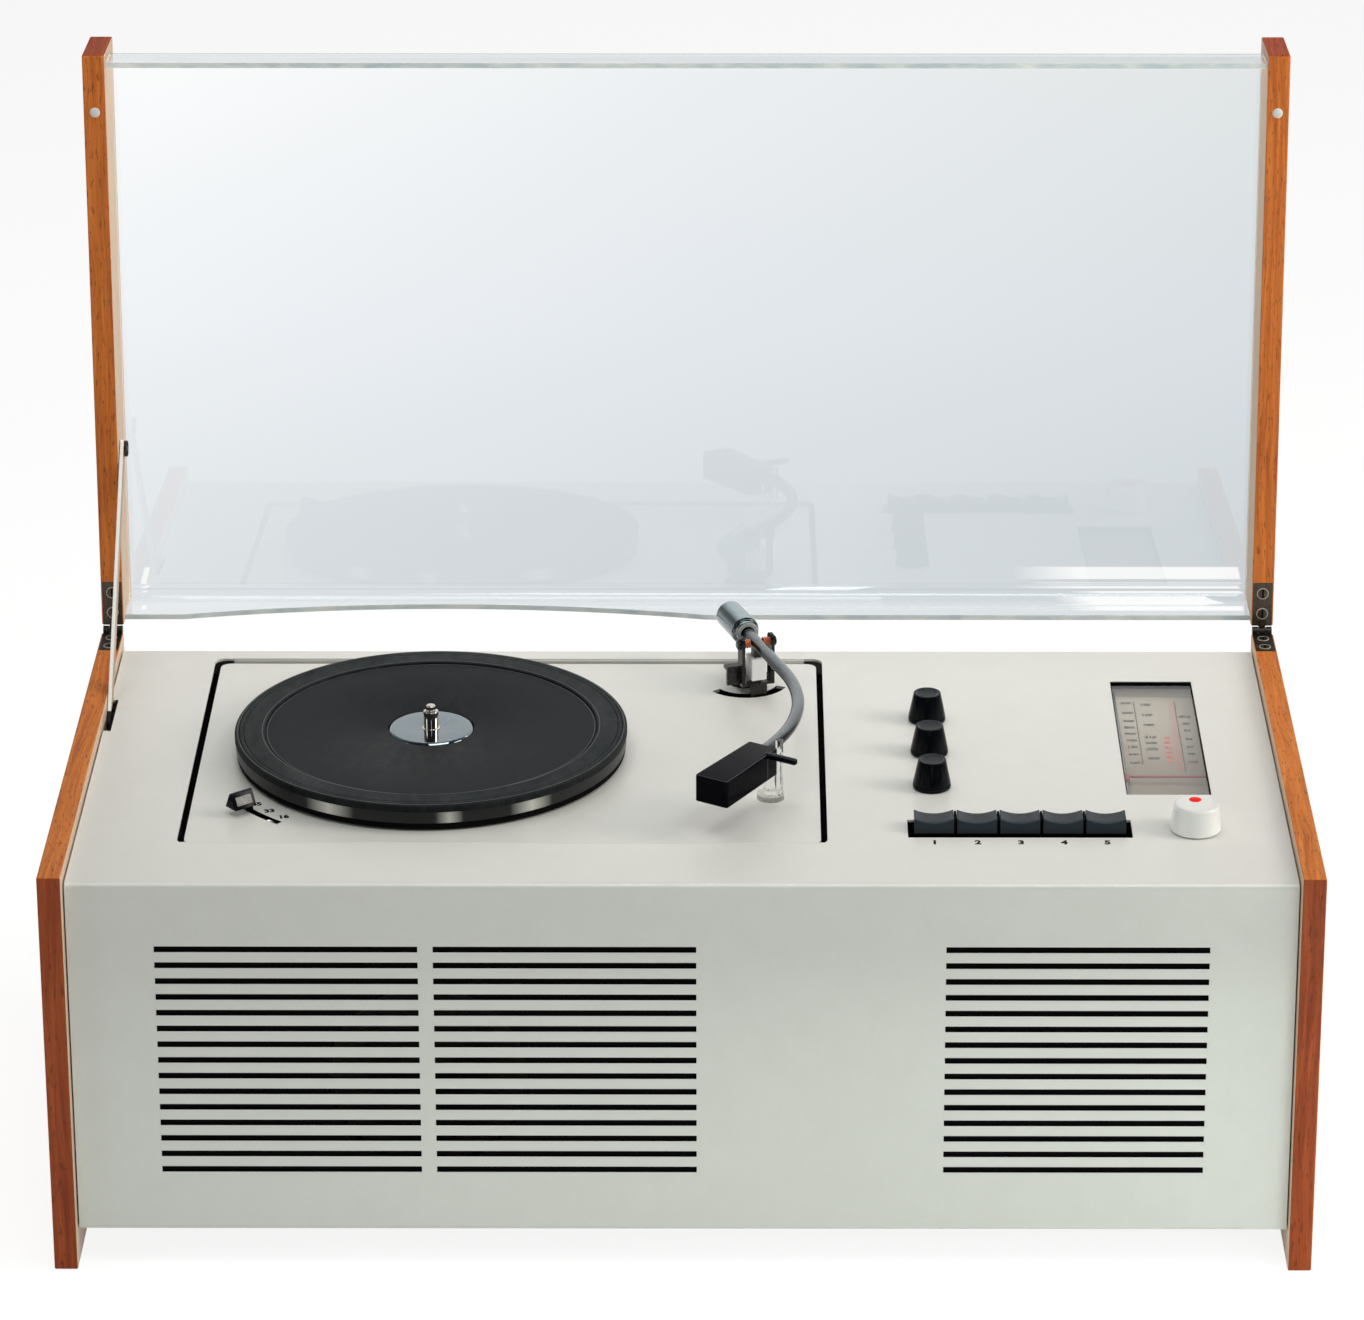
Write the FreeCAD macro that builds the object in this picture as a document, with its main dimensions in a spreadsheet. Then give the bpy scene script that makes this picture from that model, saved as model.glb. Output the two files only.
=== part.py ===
import FreeCAD
import Part
import math
import os
from types import SimpleNamespace

import Sketcher
from FreeCAD import Rotation, Vector

# A table radiogram: two wooden end boards, a folded sheet-steel casing between them, a sprung
# record deck with its tone arm, push keys, knobs and a tuning dial, and a hinged clear lid.
# Millimetres. X runs to the right along the front, Y to the back, Z up from the table.

LENGTHS = {
    # End boards and lid boards
    "cabinet_width": 584.0,
    "board_depth": 291.5,
    "base_height": 200.0,
    "board_thickness": 11.0,
    "board_edge_radius": 0.8,
    "lid_gap": 1.0,
    "lid_height": 39.0,
    # Folded casing
    "casing_gap": 0.7,
    "sheet_thickness": 1.2,
    "bend_radius": 1.6,
    "front_reveal": 6.0,
    "top_reveal": 5.6,
    "rear_reveal": 8.0,
    "casing_bottom": 17.5,
    "casing_flange": 14.0,
    "cut_overrun": 2.0,
    # Slots of the front and of the back
    "slot_length": 120.2,
    "slot_height": 2.9,
    "slot_pitch": 8.02,
    "slot_margin": 39.6,
    "slot_column_gap": 6.9,
    "slot_top_drop": 32.65,
    "slot_foot": 31.5,
    "vent_top_drop": 60.0,
    "vent_foot": 52.0,
    # Base and loudspeaker
    "base_plate_thickness": 3.2,
    "base_plate_clearance": 0.5,
    "baffle_thickness": 6.0,
    "baffle_margin": 10.0,
    "baffle_drop": 23.2,
    "speaker_radius": 46.0,
    "speaker_flange": 8.0,
    "speaker_depth": 44.0,
    "speaker_wall": 1.5,
    "magnet_radius": 24.0,
    "magnet_depth": 18.0,
    # Cut-out of the casing and the record deck in it
    "cutout_width": 300.3,
    "cutout_depth": 221.0,
    "cutout_front": 44.75,
    "cutout_corner": 5.0,
    "deck_gap": 3.0,
    "deck_drop": 1.5,
    "deck_thickness": 1.5,
    "mount_radius": 6.0,
    "mount_height": 13.5,
    "mount_inset": 17.0,
    "rail_width": 14.0,
    "rail_thickness": 2.0,
    "rail_overlap": 4.6,
    # Platter, mat and spindle, heights above the deck plate
    "platter_inset": 112.4,
    "platter_front": 154.15,
    "platter_radius": 93.0,
    "platter_rim_wall": 2.2,
    "platter_lift": 3.4,
    "platter_web": 1.5,
    "rim_height": 8.8,
    "hub_radius": 14.0,
    "mat_rim_gap": 0.4,
    "mat_ring_width": 11.0,
    "mat_ring_height": 2.7,
    "mat_thickness": 1.7,
    "disc_radius": 20.3,
    "disc_height": 2.1,
    "disc_edge": 1.0,
    "spindle_radius": 3.55,
    "spindle_seat_radius": 4.2,
    "spindle_height": 13.4,
    "spindle_tip": 2.2,
    "journal_radius": 5.0,
    "journal_depth": 40.0,
    "bearing_wall": 4.0,
    "bearing_flange_radius": 22.0,
    "bearing_flange": 2.0,
    "bearing_floor": 3.0,
    "running_clearance": 0.05,
    "drive_clearance": 0.3,
    # Motor, stepped pulley and idler under the platter
    "idler_radius": 14.0,
    "idler_thickness": 3.0,
    "idler_lift": 4.8,
    "idler_stud_radius": 1.5,
    "idler_arm_thickness": 1.5,
    "idler_arm_width": 9.0,
    "idler_arm_length": 24.0,
    "pulley_radius": 6.0,
    "pulley_small_radius": 4.0,
    "motor_shaft_radius": 1.6,
    "motor_radius": 28.0,
    "motor_height": 46.0,
    "motor_drop": 9.0,
    "motor_pillar_radius": 3.0,
    # Speed lever
    "lever_clearance": 13.6,
    "lever_thickness": 2.0,
    "lever_width": 8.0,
    "lever_hub_wall": 6.0,
    "lever_stem_width": 2.4,
    "lever_slot_width": 3.6,
    "lever_rise": 3.5,
    "lever_cap_length": 12.0,
    "lever_cap_width": 8.2,
    "lever_cap_height": 7.6,
    "lever_cap_ridge": 1.4,
    # Tone arm, heights above the deck plate
    "arm_inset": 37.7,
    "arm_front": 240.95,
    "arm_height": 26.5,
    "arm_post_radius": 4.0,
    "arm_post_flange_radius": 9.0,
    "arm_post_flange": 1.5,
    "arm_post_height": 9.0,
    "arm_collar_radius": 6.5,
    "gimbal_forward": 15.0,
    "yoke_plate": 1.6,
    "yoke_lift": 5.0,
    "yoke_inside": 13.6,
    "yoke_length": 27.0,
    "yoke_ear_width": 6.4,
    "yoke_ear_rise": 4.0,
    "yoke_tab_width": 8.3,
    "yoke_blade_width": 6.0,
    "yoke_blade_height": 9.0,
    "arm_pivot_radius": 2.0,
    "arm_pivot_head": 2.6,
    "carrier_width": 10.6,
    "carrier_length": 8.0,
    "carrier_above": 3.8,
    "carrier_below": 7.0,
    "arm_block_width": 7.7,
    "arm_block_length": 9.0,
    "arm_block_air": 1.4,
    "tube_radius": 3.0,
    "tube_straight": 38.8,
    "tube_bend_radius": 110.8,
    "weight_radius": 7.0,
    "weight_length": 27.6,
    "weight_setback": 12.0,
    "weight_bevel": 1.0,
    "shell_length": 46.4,
    "shell_rear_width": 15.6,
    "shell_front_width": 17.6,
    "shell_height": 13.3,
    "shell_above_tube": 3.4,
    "shell_wall": 1.6,
    "shell_corner": 2.0,
    "cartridge_length": 24.0,
    "cartridge_width": 9.0,
    "cartridge_height": 10.0,
    "stylus_drop": 1.4,
    "stylus_radius": 0.6,
    "stylus_setback": 4.5,
    "lift_length": 15.0,
    "lift_width": 3.0,
    "lift_thickness": 1.2,
    "lift_setback": 11.0,
    "rest_radius": 3.2,
    "rest_base_radius": 6.5,
    "rest_base_height": 2.5,
    "rest_ear": 2.4,
    "rest_ear_rise": 4.0,
    "rest_gap": 0.3,
    "arm_slot_radius": 18.4,
    "arm_slot_width": 5.0,
    # Keys
    "key_slot_front": 52.0,
    "key_pitch": 19.9,
    "key_gap": 0.8,
    "key_end_gap": 2.15,
    "key_front_gap": 3.5,
    "key_rear_gap": 2.5,
    "key_depth": 14.0,
    "key_lean": 1.8,
    "key_rear_lean": 0.9,
    "key_rise": 7.0,
    "key_skirt": 9.0,
    "key_dish": 2.0,
    "key_stem_width": 6.0,
    "key_stem_depth": 3.0,
    "key_stem_drop": 36.0,
    "key_frame_drop": 24.0,
    "key_frame_sheet": 1.5,
    "key_frame_margin": 3.0,
    "key_guide_gap": 0.3,
    # Control knobs
    "knob_inset": 12.6,
    "knob_front": 189.75,
    "knob_pitch": 40.0,
    "knob_base_radius": 9.0,
    "knob_top_radius": 6.5,
    "knob_height": 14.4,
    "knob_flange": 1.3,
    "knob_groove": 0.7,
    "knob_groove_depth": 0.8,
    "knob_dish": 0.5,
    "knob_air": 0.4,
    "shaft_radius": 3.0,
    "shaft_depth": 20.0,
    "bush_radius": 4.6,
    "bush_shoulder": 7.5,
    "bush_shoulder_height": 3.0,
    "control_hole_gap": 0.3,
    "control_can_radius": 12.0,
    "control_can_height": 12.0,
    # Tuning knob and dial
    "tuning_front": 61.45,
    "tuning_base_radius": 11.8,
    "tuning_top_radius": 10.3,
    "tuning_height": 13.1,
    "tuning_edge": 1.2,
    "dial_front": 100.85,
    "dial_width": 39.8,
    "dial_length": 136.6,
    "dial_margin": 2.5,
    "dial_glass": 2.0,
    "dial_depth": 6.5,
    "dial_wall": 1.5,
    "pointer_front": 32.0,
    "pointer_width": 1.0,
    "pointer_side_gap": 0.5,
    "pointer_height": 0.8,
    "pointer_lift": 2.2,
    "pointer_slide": 6.0,
    "rail_rod_radius": 0.9,
    "rail_rod_wall": 0.9,
    # Works on the base plate
    "chassis_right": 18.6,
    "chassis_width": 170.0,
    "chassis_depth": 150.0,
    "chassis_front": 70.0,
    "chassis_height": 48.0,
    "chassis_sheet": 1.5,
    "valve_radius": 10.5,
    "valve_height": 52.0,
    "valve_base": 8.0,
    "valve_pitch": 34.0,
    "valve_inset": 26.0,
    "transformer_width": 62.0,
    "transformer_depth": 54.0,
    "transformer_height": 52.0,
    "transformer_left": 60.0,
    "transformer_front": 180.0,
    "coil_bulge": 8.0,
    "coil_height": 30.0,
    "capacitor_width": 44.0,
    "capacitor_depth": 50.0,
    "capacitor_height": 34.0,
    "gland_radius": 5.0,
    "gland_bore": 3.2,
    "gland_flange": 8.0,
    "gland_flange_length": 2.5,
    "gland_rise": 20.0,
    "gland_right": 90.6,
    # Hinges, stay and buffers
    "knuckle_radius": 2.2,
    "knuckle_seat_gap": 0.3,
    "knuckle_air": 0.15,
    "leaf_air": 0.4,
    "hinge_pin_radius": 1.0,
    "leaf_width": 9.6,
    "leaf_length": 22.6,
    "leaf_thickness": 0.9,
    "leaf_seat_gap": 0.1,
    "buffer_radius": 2.5,
    "buffer_proud": 0.7,
    "buffer_inset": 28.5,
    "stay_reach": 91.8,
    "stay_rise": 9.5,
    "stay_thickness": 1.7,
    "stay_width": 8.0,
    "stay_length": 150.0,
    "stay_air": 0.4,
    "stay_screw_radius": 2.0,
    "stay_head_radius": 4.0,
    "stay_head": 1.4,
    "stay_lug": 2.5,
    "stay_lug_inset": 6.0,
    "notch_front": 175.3,
    "notch_length": 37.5,
    "notch_width": 2.4,
    "notch_end_gap": 7.0,
    # Bent clear sheet of the lid
    "lid_sheet_thickness": 2.5,
    "lid_sheet_side_gap": 0.3,
    "lid_sheet_bend": 7.0,
    "lid_sheet_drop": 8.0,
    "lip_inset": 4.5,
    "rear_lip_inset": 2.0,
    "lip_rise": 3.0,
    "record_gap_chord": 261.0,
    "record_gap_depth": 16.0,
}

ANGLES = {
    "lid_angle": 93.0,
    "arm_angle": -70.2,
    "tube_turn_angle": 51.5,
    "rest_turn_angle": 48.0,
    "lever_angle": 220.0,
    "lever_back_angle": 7.4,
    "lever_forward_angle": 9.6,
    "lever_slot_end_angle": 1.7,
    "arm_slot_start_angle": -143.0,
    "arm_slot_sweep_angle": 123.0,
}

COUNTS = {
    "key_count": 5,
    "knob_count": 3,
    "valve_count": 4,
}

# Places of the hinge knuckles along their pin, as shares of the leaf's width.
KNUCKLE_SHARES = (0.31, 0.69)
# The round of the yoke's ears, as a share of their width.
EAR_ROUND_SHARE = 0.42
# The spare width of the casing's top: its shares left of the deck's cut-out, between cut-out and keys,
# and between keys and tuning knob. The rest lies to the right of the tuning knob.
SPARE_SHARES = (0.3529, 0.2799, 0.1332)

document = FreeCAD.newDocument("radiogram")
sheet = document.addObject("Spreadsheet::Sheet", "sizes")
nodes = []


class Formula:
    """A size, or a sum of sizes: the text a property is bound to, and its present value."""

    def __init__(self, text, number):
        self.text = text
        self.number = number

    def __add__(self, other):
        return joined(self, "+", other, self.number + number_of(other))

    def __radd__(self, other):
        return joined(other, "+", self, number_of(other) + self.number)

    def __sub__(self, other):
        return joined(self, "-", other, self.number - number_of(other))

    def __rsub__(self, other):
        return joined(other, "-", self, number_of(other) - self.number)

    def __mul__(self, other):
        return joined(self, "*", other, self.number * number_of(other))

    def __rmul__(self, other):
        return joined(other, "*", self, number_of(other) * self.number)

    def __truediv__(self, other):
        return joined(self, "/", other, self.number / number_of(other))

    def __neg__(self):
        return Formula(f"(-{self.text})", -self.number)


def number_of(value):
    """The present value of a formula or of a plain number."""
    return value.number if isinstance(value, Formula) else value


def text_of(value):
    """The expression text of a formula or of a plain number."""
    return value.text if isinstance(value, Formula) else str(value)


def joined(left, sign, right, number):
    """Two formulas under one sign."""
    return Formula(f"({text_of(left)} {sign} {text_of(right)})", number)


def sine(angle):
    """The sine of an angle given in degrees."""
    return Formula(f"sin({angle.text})", math.sin(math.radians(angle.number)))


def cosine(angle):
    """The cosine of an angle given in degrees."""
    return Formula(f"cos({angle.text})", math.cos(math.radians(angle.number)))


def bearing_of(rise, run):
    """The angle, in degrees, whose tangent is rise over run."""
    number = math.degrees(math.atan2(rise.number, run.number))
    return Formula(f"(atan2({rise.text}; {run.text}) / 1 deg)", number)


def rows_in(height, pitch):
    """How many rows fit in a height, with the first one at its start."""
    number = math.floor(height.number / pitch.number) + 1
    return Formula(f"(floor({height.text} / {pitch.text}) + 1)", number)


def fill_sheet():
    """Writes every driving size to the sheet and returns the formulas that point at its cells."""
    sizes = {}
    for row, (name, number) in enumerate({**LENGTHS, **ANGLES, **COUNTS}.items(), start=1):
        sheet.set(f"A{row}", name)
        sheet.set(f"B{row}", str(number))
        sheet.setAlias(f"B{row}", name)
        sizes[name] = Formula(f"sizes.{name}", number)
    document.recompute()
    return SimpleNamespace(**sizes)


s = fill_sheet()

# Main places, in the cabinet's own frame: X and Y from the middle of the end boards, Z from the table.
HALF_DEPTH = s.board_depth / 2
INSIDE = s.cabinet_width / 2 - s.board_thickness
CASING_X = INSIDE - s.casing_gap
FRONT = s.front_reveal - HALF_DEPTH
REAR = HALF_DEPTH - s.rear_reveal
TOP = s.base_height - s.top_reveal
UNDER_TOP = TOP - s.sheet_thickness
FLOOR = s.casing_bottom + s.sheet_thickness + s.base_plate_thickness
DECK = TOP - s.deck_drop
UNDER_DECK = DECK - s.deck_thickness
HINGE_OFFSET = s.knuckle_radius + s.knuckle_seat_gap
HINGE_Y = HALF_DEPTH + HINGE_OFFSET
HINGE_Z = s.base_height + s.lid_gap / 2
KEY_SLOT_LENGTH = s.key_pitch * s.key_count + 2 * s.key_end_gap
SPARE = 2 * CASING_X - s.cutout_width - KEY_SLOT_LENGTH - 2 * s.tuning_base_radius
CUTOUT_LEFT = SPARE * SPARE_SHARES[0] - CASING_X
CUTOUT_RIGHT = CUTOUT_LEFT + s.cutout_width
KEYS_LEFT = CUTOUT_RIGHT + SPARE * SPARE_SHARES[1]
KEYS_RIGHT = KEYS_LEFT + KEY_SLOT_LENGTH
TUNING_X = KEYS_RIGHT + SPARE * SPARE_SHARES[2] + s.tuning_base_radius
TUNING_Y = FRONT + s.tuning_front
CHASSIS_LEFT = CASING_X - s.chassis_right - s.chassis_width
GLAND_X = CASING_X - s.gland_right
PLATTER_X = CUTOUT_LEFT + s.platter_inset
PLATTER_Y = FRONT + s.platter_front
ARM_X = CUTOUT_RIGHT - s.arm_inset
ARM_Y = FRONT + s.arm_front
ARM_Z = DECK + s.arm_height
LEVER_REACH = s.platter_radius + s.lever_clearance
LID_REACH = s.board_depth + HINGE_OFFSET
LID_REAR = HINGE_Y - LID_REACH * cosine(s.lid_angle) + (s.lid_gap / 2 + s.lid_height) * sine(s.lid_angle)
# The part's origin lies under the middle of its box with the lid open, this far behind the boards' middle.
ROW_SHIFT = (LID_REAR - HALF_DEPTH) / 2

PLANES = {"XY": "XY_Plane", "XZ": "XZ_Plane", "YZ": "YZ_Plane"}


def bind(thing, name, value):
    """Binds a property to a formula."""
    thing.setExpression(name, text_of(value))


def new_body(name):
    """An empty body under that name."""
    body = document.addObject("PartDesign::Body", name)
    body.Label = name
    return body


def place(thing, x=0, y=0, z=0, axis=None, angle=None):
    """Puts a sub-part at a place of the cabinet's frame, turned about an axis where one is given."""
    if axis is not None:
        thing.Placement.Rotation = Rotation(axis, 1)
        bind(thing, "Placement.Rotation.Angle", angle)
    bind(thing, "Placement.Base.x", x)
    bind(thing, "Placement.Base.y", y - ROW_SHIFT)
    bind(thing, "Placement.Base.z", z)
    return thing


def keep(thing):
    """Counts a finished object as one of the part's nodes."""
    nodes.append(thing)
    return thing


def group(name, members):
    """Several separate solids under one name."""
    compound = document.addObject("Part::Compound", name)
    compound.Label = name
    compound.Links = members
    return keep(compound)


def new_sketch(body, plane, offset):
    """An empty sketch on one of the body's own planes, moved along that plane's normal."""
    sketch = body.newObject("Sketcher::SketchObject", "sketch")
    support = next(f for f in body.Origin.OriginFeatures if f.Role == PLANES[plane])
    sketch.AttachmentSupport = [(support, "")]
    sketch.MapMode = "FlatFace"
    bind(sketch, "AttachmentOffset.Base.z", offset)
    return sketch


def pin_point(sketch, geometry, position, x, y):
    """Ties one point of a sketch to two formulas, measured from the sketch's origin."""
    for kind, value in (("DistanceX", x), ("DistanceY", y)):
        index = sketch.addConstraint(
            Sketcher.Constraint(kind, -1, 1, geometry, position, number_of(value))
        )
        bind(sketch, f"Constraints[{index}]", value)


def draw_polygon(sketch, corners):
    """A closed outline of straight lines through the given corners."""
    points = [Vector(number_of(x), number_of(y), 0) for x, y in corners]
    lines = []
    for point, following in zip(points, points[1:] + points[:1]):
        lines.append(sketch.addGeometry(Part.LineSegment(point, following), False))
    for line, following in zip(lines, lines[1:] + lines[:1]):
        sketch.addConstraint(Sketcher.Constraint("Coincident", line, 2, following, 1))
    for line, (x, y) in zip(lines, corners):
        pin_point(sketch, line, 1, x, y)


def draw_circle(sketch, x, y, radius):
    """A circle whose centre and radius are bound."""
    centre = Vector(number_of(x), number_of(y), 0)
    ring = sketch.addGeometry(Part.Circle(centre, Vector(0, 0, 1), number_of(radius)), False)
    index = sketch.addConstraint(Sketcher.Constraint("Radius", ring, number_of(radius)))
    bind(sketch, f"Constraints[{index}]", radius)
    pin_point(sketch, ring, 3, x, y)


def rectangle(low_x, low_y, high_x, high_y):
    """The four corners of an upright rectangle."""
    return [(low_x, low_y), (high_x, low_y), (high_x, high_y), (low_x, high_y)]


def extrude(body, plane, low, high, outlines=(), circles=(), cut=False):
    """Adds, or cuts away, outlines and circles carried along the plane's third axis from low to high."""
    sketch = new_sketch(body, plane, -high if plane == "XZ" else low)
    for corners in outlines:
        draw_polygon(sketch, corners)
    for x, y, radius in circles:
        draw_circle(sketch, x, y, radius)
    feature = body.newObject("PartDesign::Pocket" if cut else "PartDesign::Pad", "cut" if cut else "pad")
    feature.Profile = sketch
    feature.Reversed = cut
    bind(feature, "Length", high - low)
    body.Tip = feature
    return feature


def turn(body, corners, plane="XZ", axis="V_Axis", cut=False):
    """Adds, or cuts away, a profile turned all the way round one of its plane's axes."""
    sketch = new_sketch(body, plane, 0)
    draw_polygon(sketch, corners)
    kind = "PartDesign::Groove" if cut else "PartDesign::Revolution"
    feature = body.newObject(kind, "groove" if cut else "turning")
    feature.Profile = sketch
    feature.ReferenceAxis = (sketch, [axis])
    feature.Angle = 360
    body.Tip = feature
    return feature


def repeat(body, original, axis, length, count, reverse=False):
    """Repeats a feature in a straight row along one of its sketch's axes."""
    pattern = body.newObject("PartDesign::LinearPattern", "row")
    pattern.Originals = [original]
    pattern.Direction = (original.Profile[0], [axis])
    pattern.Reversed = reverse
    bind(pattern, "Length", length)
    bind(pattern, "Occurrences", count)
    body.Tip = pattern
    return pattern


def soften(body, radius, chosen):
    """Rounds the edges that the given test picks."""
    document.recompute()
    base = body.Tip
    names = [f"Edge{k}" for k, edge in enumerate(base.Shape.Edges, start=1) if chosen(edge)]
    fillet = body.newObject("PartDesign::Fillet", "round")
    fillet.Base = (base, names)
    bind(fillet, "Radius", radius)
    body.Tip = fillet
    return fillet


def runs_along(edge, direction):
    """True for a straight edge parallel to a direction."""
    if not isinstance(edge.Curve, Part.Line):
        return False
    return abs(edge.Curve.Direction.dot(direction)) > 1 - Part.Precision.confusion()


def lies_at(edge, places):
    """True for an edge whose middle is on the given places: pairs of an axis letter and a formula."""
    middle = edge.BoundBox.Center
    near = s.cut_overrun.number / 100
    return all(abs(getattr(middle, axis) - value.number) < near for axis, value in places)


def sides(side, near, far):
    """Low and high X of a slab between two distances from the middle, on the left (-1) or right (1)."""
    return (near, far) if side > 0 else (-far, -near)


# End boards and casing


def leaf_span(side):
    """Low and high X of a hinge leaf, in the middle of its board's edge."""
    middle = INSIDE + s.board_thickness / 2
    return sides(side, middle - s.leaf_width / 2, middle + s.leaf_width / 2)


def side_board(name, side):
    """One upright end board with eased edges and the seat of its hinge leaf in the top edge."""
    body = new_body(name)
    low, high = sides(side, INSIDE, s.cabinet_width / 2)
    extrude(body, "YZ", low, high, [rectangle(-HALF_DEPTH, 0, HALF_DEPTH, s.base_height)])
    soften(body, s.board_edge_radius, lambda edge: True)
    leaf_low, leaf_high = leaf_span(side)
    seat = rectangle(
        HALF_DEPTH - s.leaf_length - s.leaf_seat_gap,
        s.base_height - s.leaf_thickness,
        HALF_DEPTH + s.cut_overrun,
        s.base_height + s.cut_overrun,
    )
    extrude(body, "YZ", leaf_low - s.leaf_seat_gap, leaf_high + s.leaf_seat_gap, [seat], cut=True)
    place(body)
    return keep(body)


def slot_columns():
    """The low X of each column of slots in the front: two on the left, one on the right."""
    first = s.slot_margin - CASING_X
    second = first + s.slot_length + s.slot_column_gap
    right = CASING_X - s.slot_margin - s.slot_length
    return first, second, right


def cut_slots(body, columns, top_drop, foot, wall):
    """Cuts the top row of slots through an upright wall and repeats it downwards."""
    middle = TOP - top_drop
    count = rows_in(middle - s.casing_bottom - foot, s.slot_pitch)
    outlines = [
        rectangle(low, middle - s.slot_height / 2, low + s.slot_length, middle + s.slot_height / 2)
        for low in columns
    ]
    row = extrude(body, "XZ", wall - s.cut_overrun, wall + s.cut_overrun, outlines, cut=True)
    repeat(body, row, "V_Axis", s.slot_pitch * (count - 1), count, reverse=True)


def cutout():
    """Low X, low Y, high X and high Y of the deck's cut-out in the casing."""
    low_y = FRONT + s.cutout_front
    return CUTOUT_LEFT, low_y, CUTOUT_RIGHT, low_y + s.cutout_depth


def knob_places():
    """The X of the control knobs and their Y, from the rear one to the front one."""
    last = FRONT + s.knob_front
    return KEYS_LEFT + s.knob_inset, [last - s.knob_pitch * k for k in range(COUNTS["knob_count"])]


def dial_window():
    """Low X, low Y, high X and high Y of the dial's window, in line with the tuning knob's right side."""
    high_x = TUNING_X + s.tuning_top_radius
    low_y = FRONT + s.dial_front
    return high_x - s.dial_width, low_y, high_x, low_y + s.dial_length


def key_slot():
    """Low X, low Y, high X and high Y of the slot that the keys stand in."""
    low_y = FRONT + s.key_slot_front
    return KEYS_LEFT, low_y, KEYS_RIGHT, low_y + s.key_front_gap + s.key_depth + s.key_rear_gap


def casing():
    """The folded steel casing: front, top, back and two lower flanges, with all its openings."""
    body = new_body("casing")
    wall = s.sheet_thickness
    low = s.casing_bottom
    front_in = FRONT + wall
    rear_in = REAR - wall
    profile = [
        (FRONT + s.casing_flange, low),
        (FRONT, low),
        (FRONT, TOP),
        (REAR, TOP),
        (REAR, low),
        (REAR - s.casing_flange, low),
        (REAR - s.casing_flange, low + wall),
        (rear_in, low + wall),
        (rear_in, UNDER_TOP),
        (front_in, UNDER_TOP),
        (front_in, low + wall),
        (FRONT + s.casing_flange, low + wall),
    ]
    extrude(body, "YZ", -CASING_X, CASING_X, [profile])
    across = Vector(1, 0, 0)
    inner = [(front_in, low + wall), (front_in, UNDER_TOP), (rear_in, UNDER_TOP), (rear_in, low + wall)]
    outer = [(FRONT, low), (FRONT, TOP), (REAR, TOP), (REAR, low)]
    for corners, radius in ((inner, s.bend_radius), (outer, s.bend_radius + wall)):
        soften(
            body,
            radius,
            lambda edge: runs_along(edge, across)
            and any(lies_at(edge, (("y", y), ("z", z))) for y, z in corners),
        )
    first, second, right = slot_columns()
    cut_slots(body, (first, second, right), s.slot_top_drop, s.slot_foot, FRONT + wall / 2)
    cut_slots(body, (first, right), s.vent_top_drop, s.vent_foot, REAR - wall / 2)
    cut_casing_top(body)
    hole = (GLAND_X, FLOOR + s.gland_rise, s.gland_radius)
    extrude(body, "XZ", rear_in - s.cut_overrun, REAR + s.cut_overrun, circles=[hole], cut=True)
    place(body)
    return keep(body)


def cut_casing_top(body):
    """The openings of the casing's top: deck, keys, dial, controls and the stay's notch."""
    above = TOP + s.cut_overrun
    below = UNDER_TOP - s.cut_overrun
    deck_opening = cutout()
    extrude(body, "XY", below, above, [rectangle(*deck_opening)], cut=True)
    low_x, low_y, high_x, high_y = deck_opening
    corners = [(x, y) for x in (low_x, high_x) for y in (low_y, high_y)]
    upright = Vector(0, 0, 1)
    soften(
        body,
        s.cutout_corner,
        lambda edge: runs_along(edge, upright)
        and any(lies_at(edge, (("x", x), ("y", y))) for x, y in corners),
    )
    notch_low = FRONT + s.notch_front
    notch = rectangle(
        -CASING_X - s.cut_overrun, notch_low, s.notch_width - CASING_X, notch_low + s.notch_length
    )
    openings = [rectangle(*key_slot()), rectangle(*dial_window()), notch]
    knob_x, knob_rows = knob_places()
    hole = s.bush_radius + s.control_hole_gap
    holes = [(knob_x, y, hole) for y in knob_rows]
    holes.append((TUNING_X, TUNING_Y, hole))
    extrude(body, "XY", below, above, openings, holes, cut=True)


def base_plate():
    """The bottom board: it lies on the casing's lower flanges and ties the end boards together."""
    body = new_body("base_plate")
    low = s.casing_bottom + s.sheet_thickness
    inset = s.sheet_thickness + s.bend_radius + s.base_plate_clearance
    outline = rectangle(-INSIDE, FRONT + inset, INSIDE, REAR - inset)
    extrude(body, "XY", low, FLOOR, [outline])
    place(body)
    return keep(body)


# Loudspeaker


def speaker_place():
    """X and Z of the loudspeaker's axis, behind the middle of the two left columns of slots."""
    first, second, _ = slot_columns()
    return (first + second + s.slot_length) / 2, (FLOOR + UNDER_TOP - s.baffle_drop) / 2


def speaker_baffle():
    """The black board behind the slots, with the loudspeaker's round hole."""
    body = new_body("speaker_baffle")
    low = FRONT + s.sheet_thickness
    reach = CASING_X - s.baffle_margin
    high = low + s.baffle_thickness
    outline = rectangle(-reach, FLOOR, reach, UNDER_TOP - s.baffle_drop)
    extrude(body, "XZ", low, high, [outline])
    x, z = speaker_place()
    hole = (x, z, s.speaker_radius)
    extrude(body, "XZ", low - s.cut_overrun, high + s.cut_overrun, circles=[hole], cut=True)
    place(body)
    return keep(body)


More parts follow.
